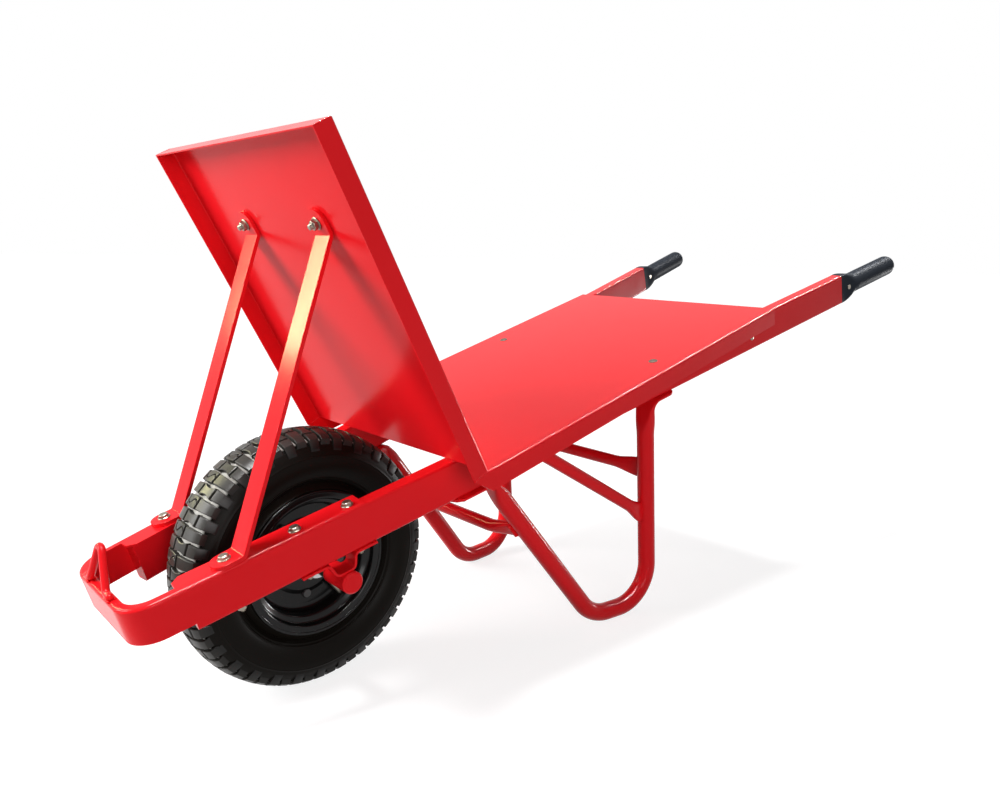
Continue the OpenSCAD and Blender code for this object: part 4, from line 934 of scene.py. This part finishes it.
# %% Rims
rim_line = [
    [27, 0.05], [90, 0.05], [90, 26], [101.4, 32.8], [101.4, 42], [112.7, 42],
    [112.7, 46.5], [108, 46.5], [108, 45], [98.5, 45], [98.5, 34.3], [87, 27.5],
    [87, 3], [62, 3], [55, 5.5], [42.2, 5.5], [42.2, 3], [27, 3],
]
rim_bends = [5, 6, 4, 1.5, 2.2, 2.2, 0.6, 0.6, 4, 6, 8, 8, 3, 3, 0.8, 0.5]
rim_r, rim_x = rounded(rim_line, rim_bends, 6).T[:, None]
for side, label in SIDES:
    pressing = skin(wheel_point(side * rim_x, rim_r, turn[:, None]), along=True)
    shown = ["rim_half_" + label]
    make("rim_pressing_" + label, [pressing], black_coat, "wheel", shown, crease=50)

# %% [markdown]
# ## Grips
# A grip is a rubber moulding that starts as the rail's own box and ends as a round. Its rings run along
# the rail, and their width, height and squareness ease from the one to the other, with a few fine rings
# near the rounded end.

# %% Grips
GRIP_FROM, GRIP_D, GRIP_STRAIGHT, GRIP_DOME, DOME_SLACK = 1217, 43.5, 188, 20, 0.02
BOX_W, BOX_H, BOX_LONG, BOX_FADE = 27.6, 62.4, 6, 50
BOX_POWER, CORNER_LONG, CORNER_FADE = 9, 2, 46
RING_FROM, RING_TO, RING_STEP, RING_SHARE = 150, 184, 5, 0.007
dome_g = GRIP_STRAIGHT + GRIP_DOME * np.sin(np.linspace(0.05, 1, 14) * np.pi / 2)
g = np.concatenate([np.linspace(0, GRIP_STRAIGHT, 125), dome_g])
fade = ease((g - BOX_LONG) / BOX_FADE)
dome = np.sqrt(1 - np.clip((g - GRIP_STRAIGHT) / (GRIP_DOME + DOME_SLACK), 0, 1) ** 2)
ringed = (g > RING_FROM) & (g < RING_TO)
rings = 1 - RING_SHARE * ringed * (0.5 + 0.5 * np.cos(g * 2 * np.pi / RING_STEP))
width = (BOX_W + (GRIP_D - BOX_W) * fade) * dome * rings
height = (BOX_H + (GRIP_D - BOX_H) * fade) * dome * rings
power = BOX_POWER - (BOX_POWER - ROUND) * ease((g - CORNER_LONG) / CORNER_FADE)
shape = super_ring(width, height, power, 48)
for side, label in SIDES:
    points = rail_point(shape[..., 0], GRIP_FROM + g[:, None], shape[..., 1] - RAIL_H / 2, side)
    shown = ["grip_" + label]
    make("grip_moulding_" + label, [skin(points)], grip_rubber, stands_for=shown, crease=60)

# %% [markdown]
# ## Bolts and nuts
# The guard's bolts are plain hexagon heads on washers, and the bolts of the headboard, the crossbar and
# the deck have turned heads: domed, or dished in the deck. A hexagon cut by a cone on top gives the
# curved chamfer that every real head has: in each direction its radius is the smaller of the hexagon's
# and the cone's. Each head is set up square to what it holds by a function from its own across, along and
# up to the cart.

# %% Bolt shapes
HEX, HEAD_TALL, NUT_TALL, WASHER_T = 13, 4.2, 6.5, 1.6
STUD_R, THREAD_DEEP, THREAD_STEP, STUD_TIP, STUD_RING = 3.8, 0.25, 1.25, 0.9, 0.3
NUT_STUD, TOP_NUT_STUD = (6, 4.5), (8, 5.5)
AXIS_R = 0.05
WASHER = [[0.1, 0], [8.9, 0], [9, 0.3], [9, 1.2], [8.6, WASHER_T], [0.1, WASHER_T]]
DISHED_HEAD = [
    [AXIS_R, -1.5], [8, -1.5], [8, 0.3], [7.4, 1.0], [6.4, 1.6], [5.4, 1.3], [4.4, 0.5], [AXIS_R, 0.3],
]
SIDE_HEAD = [[AXIS_R, 0], [5.2, 0], [5.1, 0.8], [4, 1.9], [2, 2.5], [AXIS_R, 2.7]]
BOARD_HEAD = [[AXIS_R, -1], [9, -1], [9, 0.5], [8.2, 1.7], [6, 2.9], [3, 3.6], [AXIS_R, 3.8]]


def hexagon(place, height, base=0.0):
    """A chamfered hexagon: the radius is half the flats over the cosine of the angle from the nearest
    flat, cut by a cone near the top."""
    a = np.linspace(0, 2 * np.pi, 37)[:-1]
    flat = HEX / 2 / np.cos((a + np.pi / 6) % (np.pi / 3) - np.pi / 6)
    level = np.array([0, 0.72, 0.82, 0.92, 1.0, 1.0])
    cone = HEX / 2 * np.array([1.2, 1.16, 1.10, 1.03, 0.95, 0.02])
    r = np.minimum(flat[None], cone[:, None])
    return skin(place(r * np.cos(a), r * np.sin(a), base + height * level[:, None] + 0 * r))


def turned(place, profile, base=0.0):
    """A turned shape: each radius and height of a profile is carried round the axis."""
    a = np.linspace(0, 2 * np.pi, 33)[:-1]
    r, h = np.asarray(profile, float).T
    return skin(place(r[:, None] * np.cos(a), r[:, None] * np.sin(a), base + h[:, None] + 0 * a))


def stud(place, base, height):
    """The threaded end of a bolt: its radius swings once for each turn of the thread and falls at the
    tip."""
    h = np.linspace(0, height, int(height / STUD_RING))
    thread = THREAD_DEEP * np.cos(h * 2 * np.pi / THREAD_STEP)
    r = STUD_R + thread - STUD_TIP * np.clip(h - height + STUD_TIP, 0, 1)
    ends = [[AXIS_R, 0]], [[AXIS_R, height]]
    return turned(place, np.concatenate([ends[0], np.stack([r, h], 1), ends[1]]), base)


# %% Bolts on the frame
GUARD_BOLTS, DECK_BOLTS, HANGER_T = (-47, 33), (215, 651), 3.5
CROSSBAR_S, CROSSBAR_N = 910, -38


def on_rail(along, level, side, flip=1):
    """Square to the rail at a distance along it, standing up from a level or hanging from it."""
    return lambda u, v, h: rail_point(u, along + v, level + flip * h, side)


def on_rail_side(side):
    """Square to the rail's outer side at the crossbar."""
    return lambda u, v, h: rail_point(RAIL_W / 2 + h, CROSSBAR_S + u, CROSSBAR_N + v, side)


def on_board(side, level, flip):
    """Square to the headboard at the strut's top bolt, standing forward from a level or back from it."""
    return lambda u, v, h: board_point(side * STRUT_X + u, level + flip * h, TOP_BOLT + v)


heads, nuts, top_nuts, leg_nuts, deck_heads, side_heads, board_heads = [[] for _ in range(7)]
foot_along = FOOT_BOLT / np.cos(SPLAY)
rail_bolts = [(along, GUARD_T, -RAIL_H - HANGER_T) for along in GUARD_BOLTS]
rail_bolts.append((foot_along, GUARD_T + STRUT_T, -RAIL_H))
for side in (1, -1):
    for along, head_level, nut_level in rail_bolts:
        spot = on_rail(along, head_level, side)
        heads += [turned(spot, WASHER), hexagon(spot, HEAD_TALL, WASHER_T)]
        spot = on_rail(along, nut_level, side, -1)
        nuts += [hexagon(spot, NUT_TALL), stud(spot, *NUT_STUD)]
    spot = on_board(side, SHEET + STRUT_T, 1)
    top_nuts += [turned(spot, WASHER), hexagon(spot, NUT_TALL, WASHER_T), stud(spot, *TOP_NUT_STUD)]
    for along in DECK_BOLTS:
        spot = on_rail(along, -RAIL_H - TAB_T, side, -1)
        leg_nuts += [hexagon(spot, NUT_TALL), stud(spot, *NUT_STUD)]
        deck_heads.append(turned(on_rail(along, SHEET, side), DISHED_HEAD))
    side_heads.append(turned(on_rail_side(side), SIDE_HEAD))
    board_heads.append(turned(on_board(side, 0, -1), BOARD_HEAD))
make("strut_bolt_heads", board_heads, zinc_plate, stands_for=["strut_bolts"], crease=40)
make("crossbar_bolt_heads", side_heads, zinc_plate, stands_for=["crossbar_bolts"], crease=40)
make("guard_bolt_heads", heads, zinc_plate, stands_for=["guard_bolts"], crease=30)
make("guard_bolt_nuts", nuts, zinc_plate, stands_for=["guard_nuts"], crease=30)
make("strut_top_nuts", top_nuts, zinc_plate, stands_for=["strut_nuts"], crease=30)
make("leg_tab_nuts", leg_nuts, zinc_plate, stands_for=["leg_nuts"], crease=30)
make("deck_bolt_heads", deck_heads, dull_zinc, stands_for=["deck_bolts"], crease=40)

# %% [markdown]
# ## Rim bolts
# Five black bolts hold the two rim pressings together, on a circle round the axle. Each has a head on one
# disc, and a nut with the bolt's threaded end on the other. They use the same hexagon and ride on the
# wheel.

# %% Rim bolts
RIM_BOLTS, RIM_BOLT_R, DISC_T, RIM_HEAD_TALL = 5, 62, 3, 5.5


def on_disc(angle, hand):
    """Square to one rim disc on the bolt circle, at an angle round the axle, standing outwards."""

    def place(u, v, h):
        y = axle_y + (RIM_BOLT_R + u) * np.cos(angle) - v * np.sin(angle)
        z = WHEEL_R + (RIM_BOLT_R + u) * np.sin(angle) + v * np.cos(angle)
        return np.stack([hand * (DISC_T + h), y, z], axis=-1) * MM

    return place


rim_heads = []
for angle in np.arange(RIM_BOLTS) * 2 * np.pi / RIM_BOLTS - np.pi / 2:
    back = on_disc(angle, -1)
    rim_heads += [hexagon(on_disc(angle, 1), RIM_HEAD_TALL), hexagon(back, NUT_TALL), stud(back, *NUT_STUD)]
make("rim_bolt_set", rim_heads, black_bolt, "wheel", ["rim_bolts"], crease=30)

# %% [markdown]
# ## Floor and world
# The cart stands on a white studio floor that keeps its shadow. The white comes from the floor and the
# world as the camera and the gloss see them, not from more light: for every other ray the world gives
# only a faint light.

# %% Floor and world
FLOOR_HALF, FLOOR_GREY, FLOOR_GLOW, WORLD_LIGHT = 40, 0.30, 0.82, 0.14


def seen_by_eye_or_gloss(tree):
    """One for a ray from the camera, from a glossy surface or through glass, and nothing for other
    rays."""
    ray = tree.nodes.new("ShaderNodeLightPath")
    seen = math_node(tree, "MAXIMUM", ray.outputs["Is Camera Ray"], ray.outputs["Is Transmission Ray"])
    return math_node(tree, "MAXIMUM", seen, ray.outputs["Is Glossy Ray"])


floor_mesh = bpy.data.meshes.new("floor")
corners = [(x * FLOOR_HALF, y * FLOOR_HALF, 0) for x, y in ((-1, -1), (1, -1), (1, 1), (-1, 1))]
floor_mesh.from_pydata(corners, [], [(0, 1, 2, 3)])
floor = bpy.data.objects.new("floor", floor_mesh)
bpy.context.scene.collection.objects.link(floor)
white = bpy.data.materials.new("studio floor")
white.use_nodes = True
tree = white.node_tree
paper = tree.nodes["Principled BSDF"]
paper.inputs["Base Color"].default_value = (FLOOR_GREY, FLOOR_GREY, FLOOR_GREY, 1)
paper.inputs["Roughness"].default_value = 0.95
paper.inputs["Specular IOR Level"].default_value = 0.0
paper.inputs["Emission Color"].default_value = (FLOOR_GLOW, FLOOR_GLOW, FLOOR_GLOW, 1)
tree.links.new(seen_by_eye_or_gloss(tree), paper.inputs["Emission Strength"])
floor_mesh.materials.append(white)
floor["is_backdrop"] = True

world = bpy.data.worlds.new("studio")
world.use_nodes = True
bpy.context.scene.world = world
tree = world.node_tree
back = tree.nodes["Background"]
back.inputs["Color"].default_value = (1, 1, 1, 1)
strength = math_node(tree, "MULTIPLY_ADD", seen_by_eye_or_gloss(tree), 1 - WORLD_LIGHT, WORLD_LIGHT)
tree.links.new(strength, back.inputs["Strength"])
print("floor", 2 * FLOOR_HALF, "m across, world light", WORLD_LIGHT)

# %% [markdown]
# ## Lamps
# The struts' shadows on the panel show where the main light was: high in front, on the far side. A soft
# sun from above serves the deck, and a weak fill keeps the near side from going dark. Three more lamps
# are seen by the gloss only and add no light to the colours: a warm one that the near strut mirrors, a
# low one behind the cart, and a long tube overhead that draws bright lines along the bends.


# %% Lamps
def lamp_object(name, kind, spot, target, gloss_only=False, **settings):
    """A lamp at a place, turned to face a target, with its other settings by name."""
    lamp = bpy.data.lights.new(name, kind)
    for label, value in settings.items():
        setattr(lamp, label, value)
    obj = bpy.data.objects.new(name, lamp)
    bpy.context.scene.collection.objects.link(obj)
    spot, target = np.array(spot, float), np.array(target, float)
    z = (spot - target) / np.linalg.norm(spot - target)
    x = np.cross([0, 1, 0] if abs(z[2]) > 0.98 else [0, 0, 1], z)
    x /= np.linalg.norm(x)
    y = np.cross(z, x)
    obj.matrix_world = Matrix([[x[i], y[i], z[i], spot[i]] for i in range(3)] + [[0, 0, 0, 1]])
    obj.visible_diffuse = not gloss_only
    print(name, "at", spot.tolist())


lamp_object("front key", "AREA", (-2.3, -4.1, 2.3), (0, -0.45, 0.5), size=2.4, energy=280)
lamp_object("top light", "SUN", (-0.3, -0.7, 3.0), (0, 0, 0), angle=np.radians(9), energy=2.5)
lamp_object(
    "near fill", "AREA", (2.9, -1.5, 0.9), (0.1, -0.5, 0.35), size=1.4, energy=8.3, spread=np.radians(80)
)
lamp_object(
    "strut lamp", "AREA", (-1.66, -1.47, 1.22), (0.1, -0.56, 0.6), gloss_only=True,
    shape="RECTANGLE", size=0.30, size_y=0.70, energy=27, color=(1.0, 0.95, 0.50),
)
lamp_object(
    "rear strip", "AREA", (0.6, 3.8, 0.22), (0.15, 0.0, 0.22), gloss_only=True,
    shape="RECTANGLE", size=0.7, size_y=0.36, energy=90,
)
lamp_object(
    "edge strip", "AREA", (0.6, 0.5, 2.7), (0.6, 0.5, 0), gloss_only=True,
    shape="RECTANGLE", size=0.24, size_y=4.8, energy=1100,
)
bpy.context.scene.view_settings.view_transform = "Standard"

# %% [markdown]
# ## Size
# Blender must not change the cart's size, so the dressed box is computed over every shown object, the floor left
# out.

# %% The dressed box
low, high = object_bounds()
